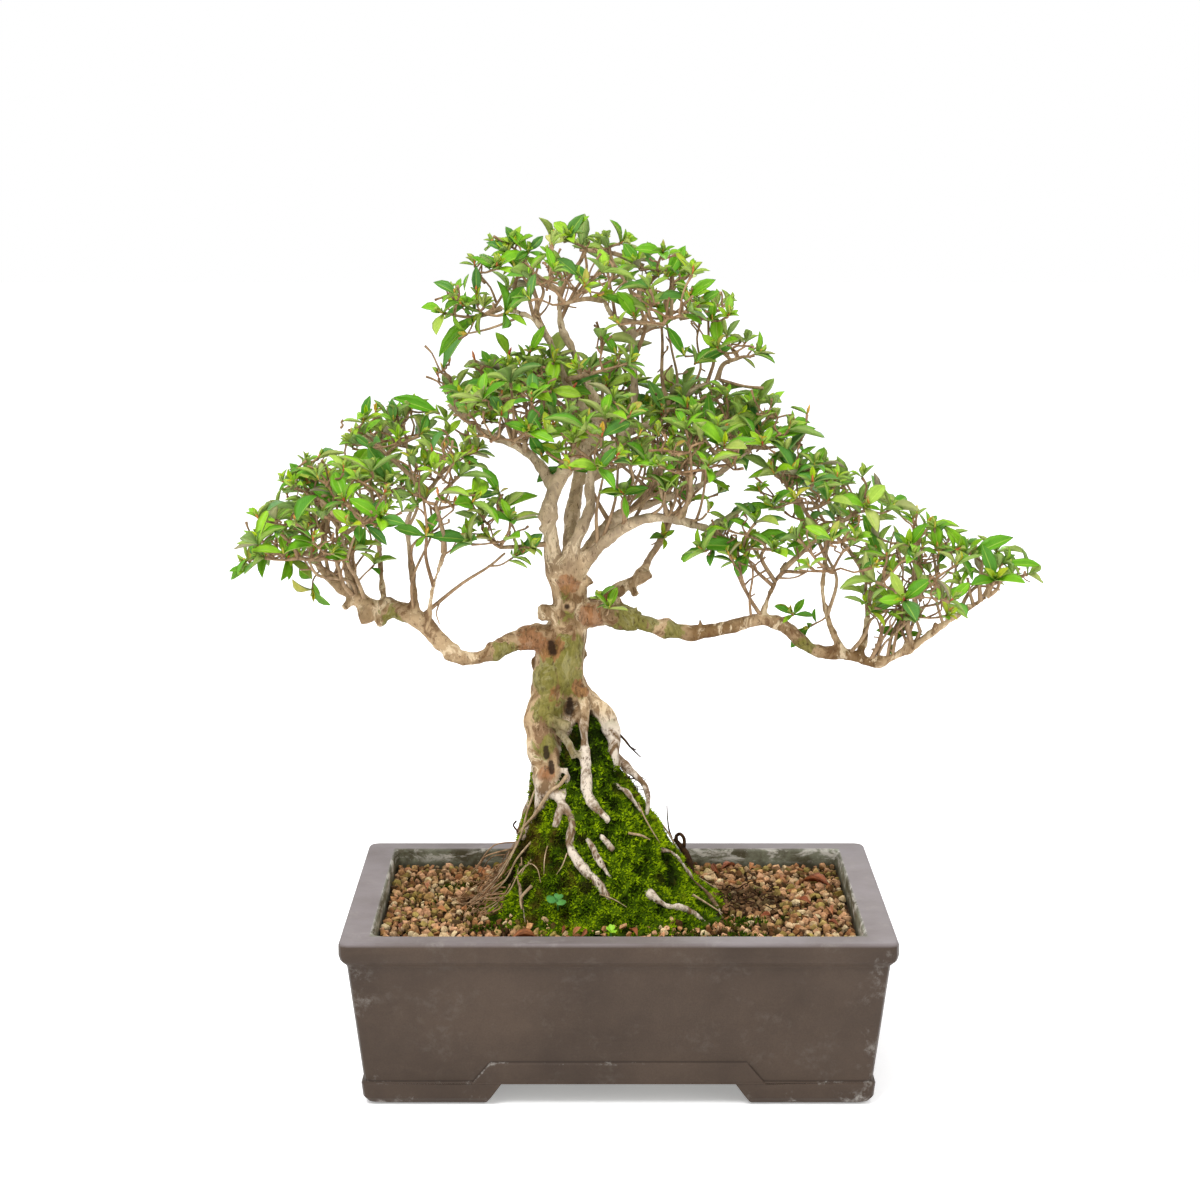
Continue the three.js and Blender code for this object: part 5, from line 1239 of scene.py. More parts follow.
def leaf_shape(name, rise, drop, fold, thickness=0.018):
    """A closed blade of length 1: it rises, droops to its tip and folds up along its midrib."""
    points = []
    uvs = []

    def height(t, share):
        return rise * t - drop * t * t + fold * abs(share) - 0.06 * share * share

    for t, half in LEAF_ROWS:
        for share in (-1.0, -0.5, 0.0, 0.5, 1.0):
            points.append((share * half, t, height(t, share * half) - (0.008 if share == 0 else 0)))
            uvs.append((0.5 + 0.5 * share, t))
    tip = len(points)
    points.append((0.0, 1.0, height(1.0, 0.0)))
    uvs.append((0.5, 1.0))
    keel = len(points)
    for t, _ in LEAF_ROWS:
        points.append((0.0, t, height(t, 0.0) - thickness - (0.012 if t < 0.1 else 0)))
        uvs.append((0.5, t))
    faces = []
    under = []
    rows = len(LEAF_ROWS)
    for row in range(rows - 1):
        for k in range(4):
            a = 5 * row + k
            faces.append((a, a + 1, a + 6, a + 5))
            under.append(0.0)
        left = 5 * row
        faces.append((left, left + 5, keel + row + 1, keel + row))
        faces.append((keel + row, keel + row + 1, left + 9, left + 4))
        under += [1.0, 1.0]
    end = 5 * (rows - 1)
    for k in range(4):
        faces.append((end + k, end + k + 1, tip))
        under.append(0.0)
    faces.append((end, tip, keel + rows - 1))
    faces.append((keel + rows - 1, tip, end + 4))
    faces.append((0, keel, 4, 3, 2, 1))
    under += [1.0, 1.0, 1.0]
    made = from_lists(name, points, faces)
    layer = made.uv_layers.new(name="blade")
    for loop in made.loops:
        layer.data[loop.index].uv = uvs[loop.vertex_index]
    mark(made, "under", under, domain="FACE")
    return template(made)


def template(mesh):
    """A hidden object that only lends its shape to the trees."""
    shape = linked(mesh.name, mesh)
    shape.hide_render = True
    TEMPLATES.append(shape)
    return shape


def bud_shape():
    """A pointed bud of five scales, of length 1."""
    rows = ((0.0, 0.18), (0.35, 0.3), (0.7, 0.2))
    points = []
    for row, (t, radius) in enumerate(rows):
        for k in range(5):
            turn = TURN * (k + 0.5 * row) / 5
            points.append((radius * math.cos(turn), t, radius * math.sin(turn)))
    points += [(0, -0.1, 0), (0, 1, 0)]
    faces = []
    for row in range(2):
        for k in range(5):
            a, b = 5 * row + k, 5 * row + (k + 1) % 5
            faces.append((a, a + 5, b + 5, b))
    for k in range(5):
        faces.append((15, k, (k + 1) % 5))
        faces.append((16, 10 + (k + 1) % 5, 10 + k))
    return template(from_lists("bud_scale_shape", points, faces))


def granule_shape(name, seed, flat):
    """A crumbly granule about 5 mm across: the hull of seeded points on a flattened ball."""
    draw = draws(seed)
    shape = bmesh.new()
    for _ in range(14):
        up = 2 * draw() - 1
        turn = TURN * draw()
        side = math.sqrt(1 - up * up) * (0.88 + 0.24 * draw())
        shape.verts.new((side * math.cos(turn), 0.86 * side * math.sin(turn), flat * up))
    bmesh.ops.convex_hull(shape, input=shape.verts[:])
    loose = [v for v in shape.verts if not v.link_faces]
    bmesh.ops.delete(shape, geom=loose, context="VERTS")
    made = bpy.data.meshes.new(name)
    shape.to_mesh(made)
    shape.free()
    made.transform(Matrix.Scale(GRANULE_RADIUS, 4))
    return template(made)


def moss_shape(name, seed, leaves):
    """A tuft of short pointed moss leaves, about 2.4 mm tall."""
    draw = draws(seed)
    points = []
    faces = []
    for k in range(leaves):
        turn = TURN * (k + 0.6 * draw()) / leaves
        out = vec(math.cos(turn), math.sin(turn), 0)
        side = vec(-out[1], out[0], 0) * 0.5
        top = out * (0.7 + 0.7 * draw()) + vec(0, 0, 1.5 + 1.1 * draw())
        first = len(points)
        points += [out * -0.2 - side, out * -0.2 + side, out * 0.75 + vec(0, 0, 0.2), top]
        faces += [(first, first + 1, first + 2), (first, first + 3, first + 1),
                  (first + 1, first + 3, first + 2), (first + 2, first + 3, first)]
    made = from_lists(name, points, faces, False)
    made.transform(Matrix.Scale(MM, 4))
    return template(made)


# ---------------------------------------------------------------- pieces


def added(piece, slot, *nodes):
    """A finished piece: it rides on the body and stands for its nodes, which are hidden. Its slot is not
    used.
    """
    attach(piece, "root")
    if nodes:
        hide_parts(*nodes)
    return piece


def lent(shapes):
    """Template shapes under the names that the trees know them by."""
    return {"Shape %d" % number: shape for number, shape in enumerate(shapes, 1)}


def stems(name, chains, sides, material, slot, *nodes):
    """A piece swept along chains."""
    values = {"Sides": sides, "Material": material}
    return added(grown(name, chains.mesh(name + "_chains"), SWEEP, values), slot, *nodes)


def blades(name, leaves, shapes, material, slot, *nodes):
    """A piece made of small shapes, each where its row says."""
    values = {**lent(shapes), "Material": material}
    return added(grown(name, leaves.mesh(name + "_places"), PLACE, values), slot, *nodes)


def node_copy(node, name):
    """A CAD node's mesh as a new object, with its loose triangles joined."""
    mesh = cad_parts[node].data.copy()
    mesh.name = name
    mesh.materials.clear()
    shape = bmesh.new()
    shape.from_mesh(mesh)
    bmesh.ops.remove_doubles(shape, verts=shape.verts[:], dist=1e-6)
    bmesh.ops.dissolve_limit(shape, angle_limit=math.radians(1.0), verts=shape.verts[:], edges=shape.edges[:])
    shape.to_mesh(mesh)
    shape.free()
    return linked(name, mesh)


def smooth_faces(piece):
    piece.data.polygons.foreach_set("use_smooth", [True] * len(piece.data.polygons))


def make_pot(material):
    """The pot with its hand-eased edges."""
    pot = node_copy("pot", "stoneware_pot")
    bevel = pot.modifiers.new("eased", "BEVEL")
    bevel.width = 0.0011
    bevel.segments = 3
    bevel.angle_limit = math.radians(24)
    bevel.harden_normals = False
    baked(pot)
    pot.data.materials.append(material)
    smooth_faces(pot)
    weighted = pot.modifiers.new("facets", "WEIGHTED_NORMAL")
    weighted.keep_sharp = False
    baked(pot)
    return added(pot, "ceramic_pot", "pot")


def pushed(piece, reach_of):
    """Moves each vertex along its normal by what a rule says of the vertices' places."""
    mesh = piece.data
    places, ways = (np.zeros(len(mesh.vertices) * 3, np.float32) for _ in range(2))
    mesh.vertices.foreach_get("co", places)
    mesh.vertices.foreach_get("normal", ways)
    places = places.reshape(-1, 3)
    moved = places + ways.reshape(-1, 3) * reach_of(places)[:, None]
    mesh.vertices.foreach_set("co", moved.astype(np.float32).ravel())
    mesh.update()


def roughened(piece, layers):
    """Moves a surface in and out by layers of noise [scale x, y, z per metre, reach in metres]."""
    pushed(piece, lambda places: sum(
        amount * np.array([noise.noise(Vector(p)) for p in places * np.array(scale)])
        for scale, amount in layers))


# Sawn stubs and swellings of the trunk: [start, end, radius at each].
STUBS = (
    ((-38, -2, 297), (-50, -8, 299), 5.6, 5.2), ((-32, -6, 302), (-32, -15, 304), 6.0, 5.0),
    ((-24, -4, 315), (-17, -8, 321), 4.0, 3.4), ((-22, -4, 300), (-15, -9, 301), 4.2, 3.6),
    ((-30, 10, 268), (-22, 14, 268), 6.0, 4.6), ((-46, 4, 262), (-54, 9, 262), 7.0, 5.0),
    ((-46, -22, 231), (-31, -27, 227), 4.2, 3.6), ((-38, -20, 224), (-32, -25, 216), 3.6, 3.4),
    ((-32, -25, 216), (-28, -28, 206), 3.4, 2.8), ((-34, -25, 200), (-33, -30, 190), 2.4, 2.3),
    ((-33, -30, 190), (-35, -34, 181), 2.0, 2.2), ((-36, -34, 177), (-41, -38, 163), 3.0, 2.0),
    ((-12, -43, 159), (-3, -47, 150), 2.0, 2.5), ((-30, -8, 326), (-36, -13, 333), 3.4, 2.6),
    ((-4, -4, 299), (0, -6, 308), 2.8, 2.2), ((11, -8, 295), (12, -9, 303), 1.8, 1.2),
)
LIMB_STUBS = (
    ((-166, 0, 303), (-164, -6, 292), 5.0, 4.0), ((-158, 0, 302), (-154, -7, 291), 4.4, 3.4),
    ((-173, 2, 307), (-179, -4, 301), 3.4, 2.4), ((13, 18, 317), (22, 16, 321), 4.2, 3.2),
    ((8, 17, 314), (12, 13, 307), 3.0, 2.2), ((52, -10, 288), (54, -12, 295), 2.0, 1.4),
    ((86, -8, 293), (88, -12, 298), 1.8, 1.2), ((206, -5, 286), (207, -9, 293), 1.9, 1.2),
    ((226, -6, 299), (228, -9, 305), 1.8, 1.1), ((-46, -6, 352), (-51, -9, 355), 2.6, 1.8),
)
# Swellings (outward) and dents (inward) of the trunk: [middle, half size along X, Y and Z, reach].
FORMS = (
    ((-47, -12, 257), (10, 12, 10), 5.5), ((-43, -17, 277), (5, 9, 7), -7.0),
    ((-47, -10, 271), (6, 10, 6), 1.8), ((-33, -17, 304), (8, 8, 8), 1.6),
    ((-33, -19, 304), (3.6, 6, 3.6), -3.0), ((-31, -15, 236), (5, 9, 10), -7.0),
    ((-51, -26, 208), (2.6, 8, 14), -2.6), ((-44, -28, 203), (2.4, 8, 12), -2.8),
    ((-40, -16, 246), (12, 8, 3.5), -1.6), ((-33, -16, 287), (16, 8, 3.5), 1.3),
    ((-24, -12, 262), (5, 9, 16), 1.6), ((-36, 16, 256), (12, 10, 9), 2.6),
    ((-46, 12, 236), (5, 8, 12), -2.4),
)


def shaped(piece, forms):
    """Moves a surface into swellings and dents."""
    pushed(piece, lambda places: sum(
        amount * MM
        * np.exp(-1.4 * np.linalg.norm((places - metres(middle)) / (np.array(half) * MM), axis=1) ** 2)
        for middle, half, amount in forms))


def melted(name, chains, stubs, sides, material, rounds):
    """Chains and their stubs swept round and melted into one surface."""
    for start, end, *thick in stubs:
        chains.add([vec(*start), vec(*end)], thick)
    return grown(name, chains.mesh(name + "_chains"), SWEEP, {"Sides": sides, "Material": material}, (
        ("REMESH", {"mode": "VOXEL", "voxel_size": MELT_GRAIN, "adaptivity": 0.0}),
        ("SMOOTH", {"factor": 0.5, "iterations": rounds}),
    ))


def make_trunk(material):
    """Trunk, legs and roots, melted together from round limbs and roughened as bark."""
    chains = Chains()
    routes = [(TRUNK, 3.0)] + [(route, 2.5) for route in (*LEGS, *moss_routes(ROOT_SINKS))]
    routes += [(LIMBS[name][:3], 3.0) for name in (
        "branch_left", "branch_right", "branch_knobby", "leader_left", "leader_middle", "branch_middle",
        "branch_middle_back", "branch_back")]
    for number, (route, step) in enumerate(routes):
        points, radii = limb_spine(route, step)
        draw = draws(TRUNK_SEED + number)
        swell = 0.0 if number == 0 else 0.16 if number <= len(LEGS) else 0.28
        marks = np.arange(0, len(points) + 4, 4)
        knobs = np.interp(np.arange(len(points)), marks, [1 + swell * (draw() - 0.5) * 2 for _ in marks])
        chains.add(points, radii * knobs - MELT)
    trunk = melted("trunk_and_roots", chains, STUBS, 20, material, 3)
    shaped(trunk, FORMS)
    roughened(trunk, [((42, 42, 20), 0.0020), ((120, 120, 45), 0.0013), ((330, 330, 120), 0.0008)])
    smooth_faces(trunk)
    return added(trunk, "bark", "wood")


def make_branches(material):
    """The branches and their risers, knobby where buds have grown out."""
    chains = Chains()
    for number, route in enumerate(LIMBS.values()):
        points, radii = limb_spine(route, 2.2)
        draw = draws(LIMB_SEED + number)
        knobs = np.ones(len(radii))
        for _ in range(max(1, len(radii) // 6)):
            at = draw() * len(radii)
            knobs += (0.1 + 0.16 * draw()) * np.exp(-((np.arange(len(radii)) - at) / 1.3) ** 2)
        chains.add(points, BRANCH_FINENESS * np.array(radii) * knobs - MELT)
    branches = melted("branches", chains, LIMB_STUBS, 14, material, 2)
    roughened(branches, [((80, 80, 80), 0.0009), ((240, 240, 240), 0.0006)])
    smooth_faces(branches)
    return added(branches, "bark")


def mound_height(x, y):
    """Height of the mound's face over points of the ground, or its foot outside it."""
    heights, middles, radii = zip(*MOUND_PROFILE)
    levels = np.linspace(92, 229, 138)
    middle = np.interp(levels, heights, middles)
    radius = np.interp(levels, heights, radii)
    across = x[..., None] - middle
    deep = (y[..., None] - MOUND_CENTRE_Y) / MOUND_DEPTH_RATIO
    return np.max(np.where(np.hypot(across, deep) < radius, levels, 92.0), axis=-1)


def bed_height(x, y):
    """The granule bed, rising a little to the mound."""
    return BED_TOP + 1.0 + 3.2 * np.exp(-((x / 110) ** 2) - (y / 80) ** 2)


def cushion(p):
    """Height of the moss at a point, 0 in a crease to about 1 on top of a cushion."""
    broad = 1 - 2.4 * abs(noise.noise(Vector(p) * 0.075))
    small = 1 - 2.4 * abs(noise.noise(Vector(p) * 0.24 + Vector((7, 3, 1))))
    return 0.65 * broad + 0.35 * small


def make_mound(material):
    """The mound under its moss: soft cushions in a darker copy of the moss, painted as the shade under the
    tufts.
    """
    sides, rows = 150, 96
    foot, cap = 92.6, 228
    points = []
    lifts = []
    for row in range(rows + 1):
        z = foot + (cap - foot) * row / rows
        for k in range(sides):
            lift = cushion(on_mound(360 * k / sides, z, 0))
            lifts.append(lift)
            swell = 0.0 if row == 0 else 5.4 * (lift - 0.6) * min(1.0, mound_at(z)[1] / 26)
            points.append(on_mound(360 * k / sides, z, swell))
    faces = []
    for row in range(rows):
        for k in range(sides):
            a = row * sides + k
            b = row * sides + (k + 1) % sides
            faces.append((a, b, b + sides, a + sides))
    faces.append(tuple(reversed(range(sides))))
    top = rows * sides
    faces.append(tuple(range(top, top + sides)))
    made = from_lists("moss_ground", metres(points).tolist(), faces)
    # The cushion heights also paint the moss lighter on the cushions and darker in the creases, as painted
    # light and shade.
    mark(made, "lift", lifts)
    made.materials.append(material)
    return added(linked("moss_ground", made), "moss", "moss_mound")


def moss_density(p, _=0.0):
    """How much moss grows at a point: all of the mound, and patches round its foot."""
    x, y, z = p
    patch = noise.noise(Vector(p) * 0.045) + 0.5 * noise.noise(Vector(p) * 0.12)
    if z > 103:
        return 1.0 if patch > -0.62 else 0.25
    away = math.hypot(x + 8, (y - MOUND_CENTRE_Y) / MOUND_DEPTH_RATIO)
    lean = -0.5 if x > 52 and y > -34 else 0.25 if x > 20 else -0.1
    return float(np.clip(0.75 + 2.2 * (patch + lean) - max(0.0, away - 84) * 0.05, 0, 1))


def surface_grid(name, height, density, kept, step=4.0):
    """A grid over the ground whose points carry a density for what is strewn on it."""
    xs = np.arange(2.6 - RIM_X, RIM_X - 2.5, step)
    ys = np.arange(2.6 - RIM_Y, RIM_Y - 2.5, step)
    x, y = np.meshgrid(xs, ys, indexing="ij")
    mound = mound_height(x, y)
    points = np.stack([x, y, height(x, y, mound)], axis=-1).reshape(-1, 3)
    inside = kept(x, y, mound)
    rows = len(ys)
    faces = []
    for i in range(len(xs) - 1):
        for j in range(rows - 1):
            if inside[i:i + 2, j:j + 2].all():
                a = i * rows + j
                faces.append((a, a + rows, a + rows + 1, a + 1))
    made = bpy.data.meshes.new(name)
    made.from_pydata(metres(points).tolist(), [], faces)
    mark(made, "density", [density(p, m) for p, m in zip(points, mound.ravel())])
    return made


def make_moss(tree, material):
    """Moss tufts over the mound and in patches on the soil round it."""
    shapes = lent(moss_shape("moss_tuft_%d" % k, 60 + k, 3) for k in range(3))
    cover = bpy.data.objects["moss_ground"].data.copy()
    cover.materials.clear()
    shift = vec(CENTRE_SHIFT_X, 0, 0)
    mark(cover, "density", [moss_density(np.array(v.co) / MM - shift) for v in cover.vertices])
    sizes = {
        "Spacing": 0.00122, "Most per square metre": 600000.0, "Smallest": 0.55, "Largest": 1.4, "Seed": 5,
    }
    added(grown("moss_tufts", cover, tree, {**shapes, **sizes, "Material": material}), "moss")

    def kept(x, y, mound):
        return (mound < 96) & (np.hypot(x + 8, y + 4) < 128)

    ground = surface_grid("moss_patches", lambda x, y, mound: bed_height(x, y) + 2.4, moss_density, kept)
    added(grown("moss_patches", ground, tree, {**shapes, **sizes, "Seed": 9, "Material": material}), "moss")


def make_soil(tree, bed_material, granule_material):
    """The bed with its crumbs, and the granules strewn over it."""
    bed = node_copy("soil", "soil_bed")
    for v in bed.data.vertices:
        if v.co.z > BED_SKIN:
            v.co.z = min(v.co.z, BED_CREST) - MM
    bed.data.materials.append(bed_material)
    added(bed, "soil_granules", "soil")
    shapes = lent(granule_shape("granule_%d" % k, 40 + k, flat) for k, flat in enumerate((1.0, 0.8, 0.72)))

    def height(x, y, mound):
        return np.maximum(bed_height(x, y), np.where(mound > 95, np.minimum(mound, 106), 0))

    def density(p, mound):
        x, y, z = p
        if mound < 94:
            return 1.0
        patch = noise.noise(Vector((x, y, 3.0)) * 0.05) + 0.5 * noise.noise(Vector((x, y, 7.0)) * 0.14)
        front = 0.35 if y < -50 and x < 40 else -0.1
        return float(np.clip(0.6 + 2.2 * (patch + front) - max(0.0, z - 101) * 0.13, 0, 1))

    def kept(x, y, mound):
        return mound < 112

    for name, spacing, small, large, seed, lift in (
        ("granules_lower", 0.0035, 0.45, 1.05, 3, -0.3),
        ("granules_upper", 0.0047, 0.65, 1.6, 8, 1.2),
    ):
        ground = surface_grid(name, lambda x, y, mound: height(x, y, mound) + lift, density, kept)
        added(grown(name, ground, tree, {
            **shapes, "Spacing": spacing, "Most per square metre": 200000.0, "Smallest": small,
            "Largest": large, "Seed": seed, "Material": granule_material}), "soil_granules")


# ---------------------------------------------------------------- crown

# Thin stems that rise side by side from the limbs: limb, from and to as shares of it, and how many.
RISERS = {
    "left": (
        ("branch_left", 0.5, 0.97, 30), ("riser_left_inner", 0.35, 0.95, 2),
        ("riser_left_outer", 0.35, 0.95, 3), ("riser_left_front", 0.4, 0.95, 2),
        ("riser_left_back", 0.4, 0.95, 2),
    ),
    "right": (
        ("branch_right", 0.41, 0.97, 22), ("riser_right_middle", 0.3, 0.95, 3),
        ("riser_right_inner", 0.3, 0.95, 3), ("riser_right_outer", 0.3, 0.95, 3),
        ("riser_right_back", 0.3, 0.95, 2), ("branch_knobby", 0.6, 1.0, 3),
    ),
    "heart": (
        ("branch_middle", 0.35, 0.98, 9), ("branch_middle_back", 0.35, 0.98, 10),
        ("branch_middle_left", 0.3, 0.95, 8), ("branch_back", 0.5, 0.98, 5),
        ("branch_back_right", 0.2, 0.95, 5), ("leader_left", 0.6, 0.98, 5),
    ),
    "apex": (
        ("stem_apex_left", 0.6, 0.98, 4), ("stem_apex_middle", 0.75, 0.98, 3),
        ("leader_middle", 0.7, 0.95, 3), ("riser_apex_right", 0.3, 0.95, 2),
        ("riser_apex_front", 0.3, 0.95, 2), ("branch_upper_right", 0.3, 0.95, 4),
    ),
}

LEAFY_SHARE = {"left": 0.62, "right": 0.6, "heart": 0.35, "apex": 0.25}


def add_risers(chains, leaves, buds, region, joints, draw):
    """Thin stems from the limbs up to the joints of the sprays, some with a small leafy shoot."""
    uses = np.zeros(len(joints))
    for limb, first, last, count in RISERS[region]:
        spine = limb_spine(LIMBS[limb], 3)[0]
        for _ in range(count):
            foot = spine[int((first + (last - first) * draw()) * (len(spine) - 1))]
            rise = joints - foot
            cost = 2.0 * np.hypot(rise[:, 0], rise[:, 1]) + np.abs(rise[:, 2] - 18 - 42 * draw())
            best = int(np.argmin(cost + 1000 * (rise[:, 2] < 10) + 16 * uses))
            uses[best] += 1
            aim = joints[best]
            if gap(foot, aim) > 80:
                continue
            path = crooked(foot, aim, draw, 0.24)
            thick = 1.0 + 0.8 * draw()
            chains.add(path, [thick, 0.8 * thick, 0.65 * thick, 0.85], 0.3 + 0.6 * draw())
            add_stubs(chains, path, draw, 1, 6, 0.6)
            for _ in range(1 + int(draw() * 1.8)):
                start = path[int(len(path) * (0.25 + 0.6 * draw()))]
                way = unit(vec(draw() - 0.5, draw() - 0.5, 0.1 + 0.5 * draw()))
                tip = start + way * (8 + 14 * draw())
                chains.add(crooked(start, tip, draw, 0.25, 3.0), [0.75, 0.55, 0.85], 0.3)
                if draw() < LEAFY_SHARE[region]:
                    twig = shoot(start, tip, unit(way + vec(0, 0, 0.6)), 6.3 * draw())
                    unfold_whorl(leaves, buds, twig, LOW_RINGS, draw, 0.8 + 0.4 * draw())


# Odd shoots of each region: corners, thickness, and whether a small whorl ends it.
ODD_SHOOTS = {
    "left": (
        (((-126, -7, 298), (-101, -12, 319), (-83, -16, 331), (-73, -20, 340)), (1.5, 1.1, 0.9, 0.8), False),
        (((-84, -16, 331), (-76, -18, 332), (-68, -20, 337)), (0.8, 0.6, 0.7), True),
        (((-116, -9, 306), (-118, -11, 299), (-116, -12, 292)), (0.6, 0.4), False),
        (((-206, 8, 344), (-222, 2, 336), (-241, 0, 332)), (1.2, 0.9, 0.7), True),
        (((-194, 8, 326), (-199, 0, 319), (-199, -4, 314)), (0.7, 0.5), True),
    ),
    "right": (
        (((236, -6, 306), (235, -7, 318), (237, -8, 335)), (1.9, 1.3, 1.1), False),
        (((240, -6, 309), (247, -7, 315), (248, -8, 329)), (1.7, 1.2, 0.9), True),
        (((232, -6, 303), (229, -7, 312), (227, -9, 322)), (1.5, 1.1, 1.0), False),
        (((238, -6, 309), (243, -2, 320), (241, 2, 330)), (1.4, 1.0, 0.8), False),
        (((-12, -8, 298), (-14, -15, 303), (-13, -17, 309)), (0.6, 0.5), True),
        (((-10, -8, 297), (-7, -15, 299), (-6, -18, 303)), (0.6, 0.5), True),
    ),
    "heart": (
        (((1, -17, 356), (6, -23, 366), (5, -27, 378)), (1.2, 0.9, 0.8), True),
        (((20, -20, 364), (28, -25, 371), (30, -28, 381)), (1.2, 0.9, 0.8), True),
        (((-13, -12, 344), (-14, -18, 366), (-10, -20, 388)), (1.6, 1.1, 0.8), True),
        (((34, -19, 362), (44, -22, 372), (47, -22, 385)), (1.2, 0.9, 0.8), True),
        (((3, 14, 362), (10, 8, 378), (15, 2, 392)), (1.6, 1.1, 0.8), True),
        (((-11, -13, 345), (-2, -20, 374), (0, -24, 400)), (1.5, 1.0, 0.8), True),
        (((44, -18, 361), (53, -20, 362), (57, -20, 366)), (1.0, 0.8, 0.8), True),
        (((26, 15, 370), (14, 4, 384), (-6, -8, 402)), (1.8, 1.2, 0.9), False),
        (((-5, 10, 355), (-16, 6, 376), (-20, 0, 398)), (1.8, 1.3, 1.0), False),
        (((8, -18, 358), (20, -10, 378), (27, -16, 398)), (1.5, 1.0, 0.8), True),
        (((4, 14, 361), (26, 4, 376), (40, -10, 384)), (1.4, 1.0, 0.8), False),
    ),
    "apex": (
        (((66, 9, 449), (82, 8, 445), (94, 6, 444)), (1.3, 1.0, 1.2), False),
        (((-60, -10, 492), (-82, -16, 484), (-96, -18, 481)), (1.0, 0.8, 0.6), True),
    ),
}


def add_odd_shoots(chains, leaves, buds, region, draw):
    for corners, thick, leafy in ODD_SHOOTS[region]:
        path = flowing(corners, 4)
        chains.add(path, thick, 0.6)
        if leafy:
            way = unit(path[-1] - path[-3])
            twig = shoot(path[-3], path[-1], unit(way + vec(0, 0, 0.3)), 6.3 * draw())
            unfold_whorl(leaves, buds, twig, LOW_RINGS, draw, 0.9 + 0.3 * draw())


# The largest leaves, where they stand out: X and height of base and tip in the trunk's plane, and breadth.
LARGE_LEAVES = {
    "left": ((-165, 422, -160, 440, 0.34), (-145, 423, -146, 438, 0.42), (-115, 428, -145, 439, 0.3),
        (-146, 382, -162, 407, 0.42), (-204, 384, -176, 366, 0.34), (-201, 384, -213, 396, 0.4),
        (-125, 348, -116, 365, 0.4), (-125, 348, -97, 346, 0.34), (-125, 348, -146, 354, 0.36),
        (-125, 348, -132, 341, 0.4), (-62, 337, -49, 350, 0.5), (-164, 355, -183, 365, 0.36),
        (-164, 355, -156, 371, 0.42), (-164, 355, -142, 357, 0.34), (-164, 355, -150, 343, 0.36),
        (-164, 355, -169, 338, 0.34), (-239, 328, -254, 325, 0.28), (-239, 328, -254, 320, 0.36),
        (-77, 376, -88, 393, 0.38), (-77, 376, -94, 374, 0.36)),
    "right": ((116, 386, 135, 396, 0.34), (81, 341, 51, 343, 0.36), (86, 341, 112, 351, 0.42),
        (85, 338, 77, 321, 0.52), (230, 335, 257, 349, 0.32), (251, 330, 276, 329, 0.26),
        (208, 339, 206, 358, 0.4), (228, 336, 213, 355, 0.28), (169, 336, 159, 363, 0.32),
        (196, 316, 196, 339, 0.3), (165, 298, 182, 304, 0.3), (186, 283, 169, 286, 0.4),
        (186, 283, 200, 283, 0.3), (186, 283, 185, 296, 0.34), (125, 288, 113, 274, 0.36),
        (115, 296, 102, 302, 0.36), (115, 296, 122, 307, 0.34), (115, 296, 129, 296, 0.3)),
    "heart": ((94, 411, 128, 419, 0.24), (-83, 436, -80, 462, 0.4), (-86, 438, -107, 443, 0.42),
        (-81, 458, -88, 469, 0.44), (1, 424, 20, 431, 0.34), (52, 414, 47, 440, 0.3),
        (60, 415, 58, 441, 0.34), (87, 409, 76, 429, 0.38), (92, 415, 83, 437, 0.32),
        (-49, 400, -57, 414, 0.5), (30, 428, 20, 450, 0.34), (-36, 394, -49, 410, 0.4),
        (-36, 394, -19, 391, 0.36), (-36, 394, -54, 384, 0.36), (4, 375, -10, 378, 0.42),
        (4, 375, 20, 380, 0.38), (4, 375, 6, 360, 0.3)),
    "apex": ((-87, 493, -118, 466, 0.22), (-97, 498, -112, 490, 0.3), (-89, 499, -109, 501, 0.34),
        (-103, 504, -118, 514, 0.4), (-91, 504, -91, 523, 0.34), (-54, 515, -73, 533, 0.38),
        (-70, 531, -84, 539, 0.4), (-65, 536, -72, 548, 0.44), (-75, 521, -90, 528, 0.44),
        (-35, 538, -22, 556, 0.36), (-18, 508, -28, 524, 0.46), (-25, 516, -39, 528, 0.46),
        (11, 489, 0, 507, 0.44), (31, 515, 43, 536, 0.38), (26, 516, 15, 533, 0.3), (45, 504, 62, 515, 0.36),
        (51, 498, 65, 507, 0.4), (60, 487, 61, 500, 0.46), (49, 460, 73, 471, 0.38), (43, 465, 32, 484, 0.3),
        (-14, 504, 8, 497, 0.26), (-1, 466, -10, 480, 0.36), (-57, 467, -47, 485, 0.3)),
}


def in_line(x, z, y):
    """The point at depth y that the front view shows in one place with X and height in the trunk's plane."""
    eye = vec(*CAMERA_PLACE)
    return eye + (vec(x, 0, z) - eye) * (y - eye[1]) / -eye[1]


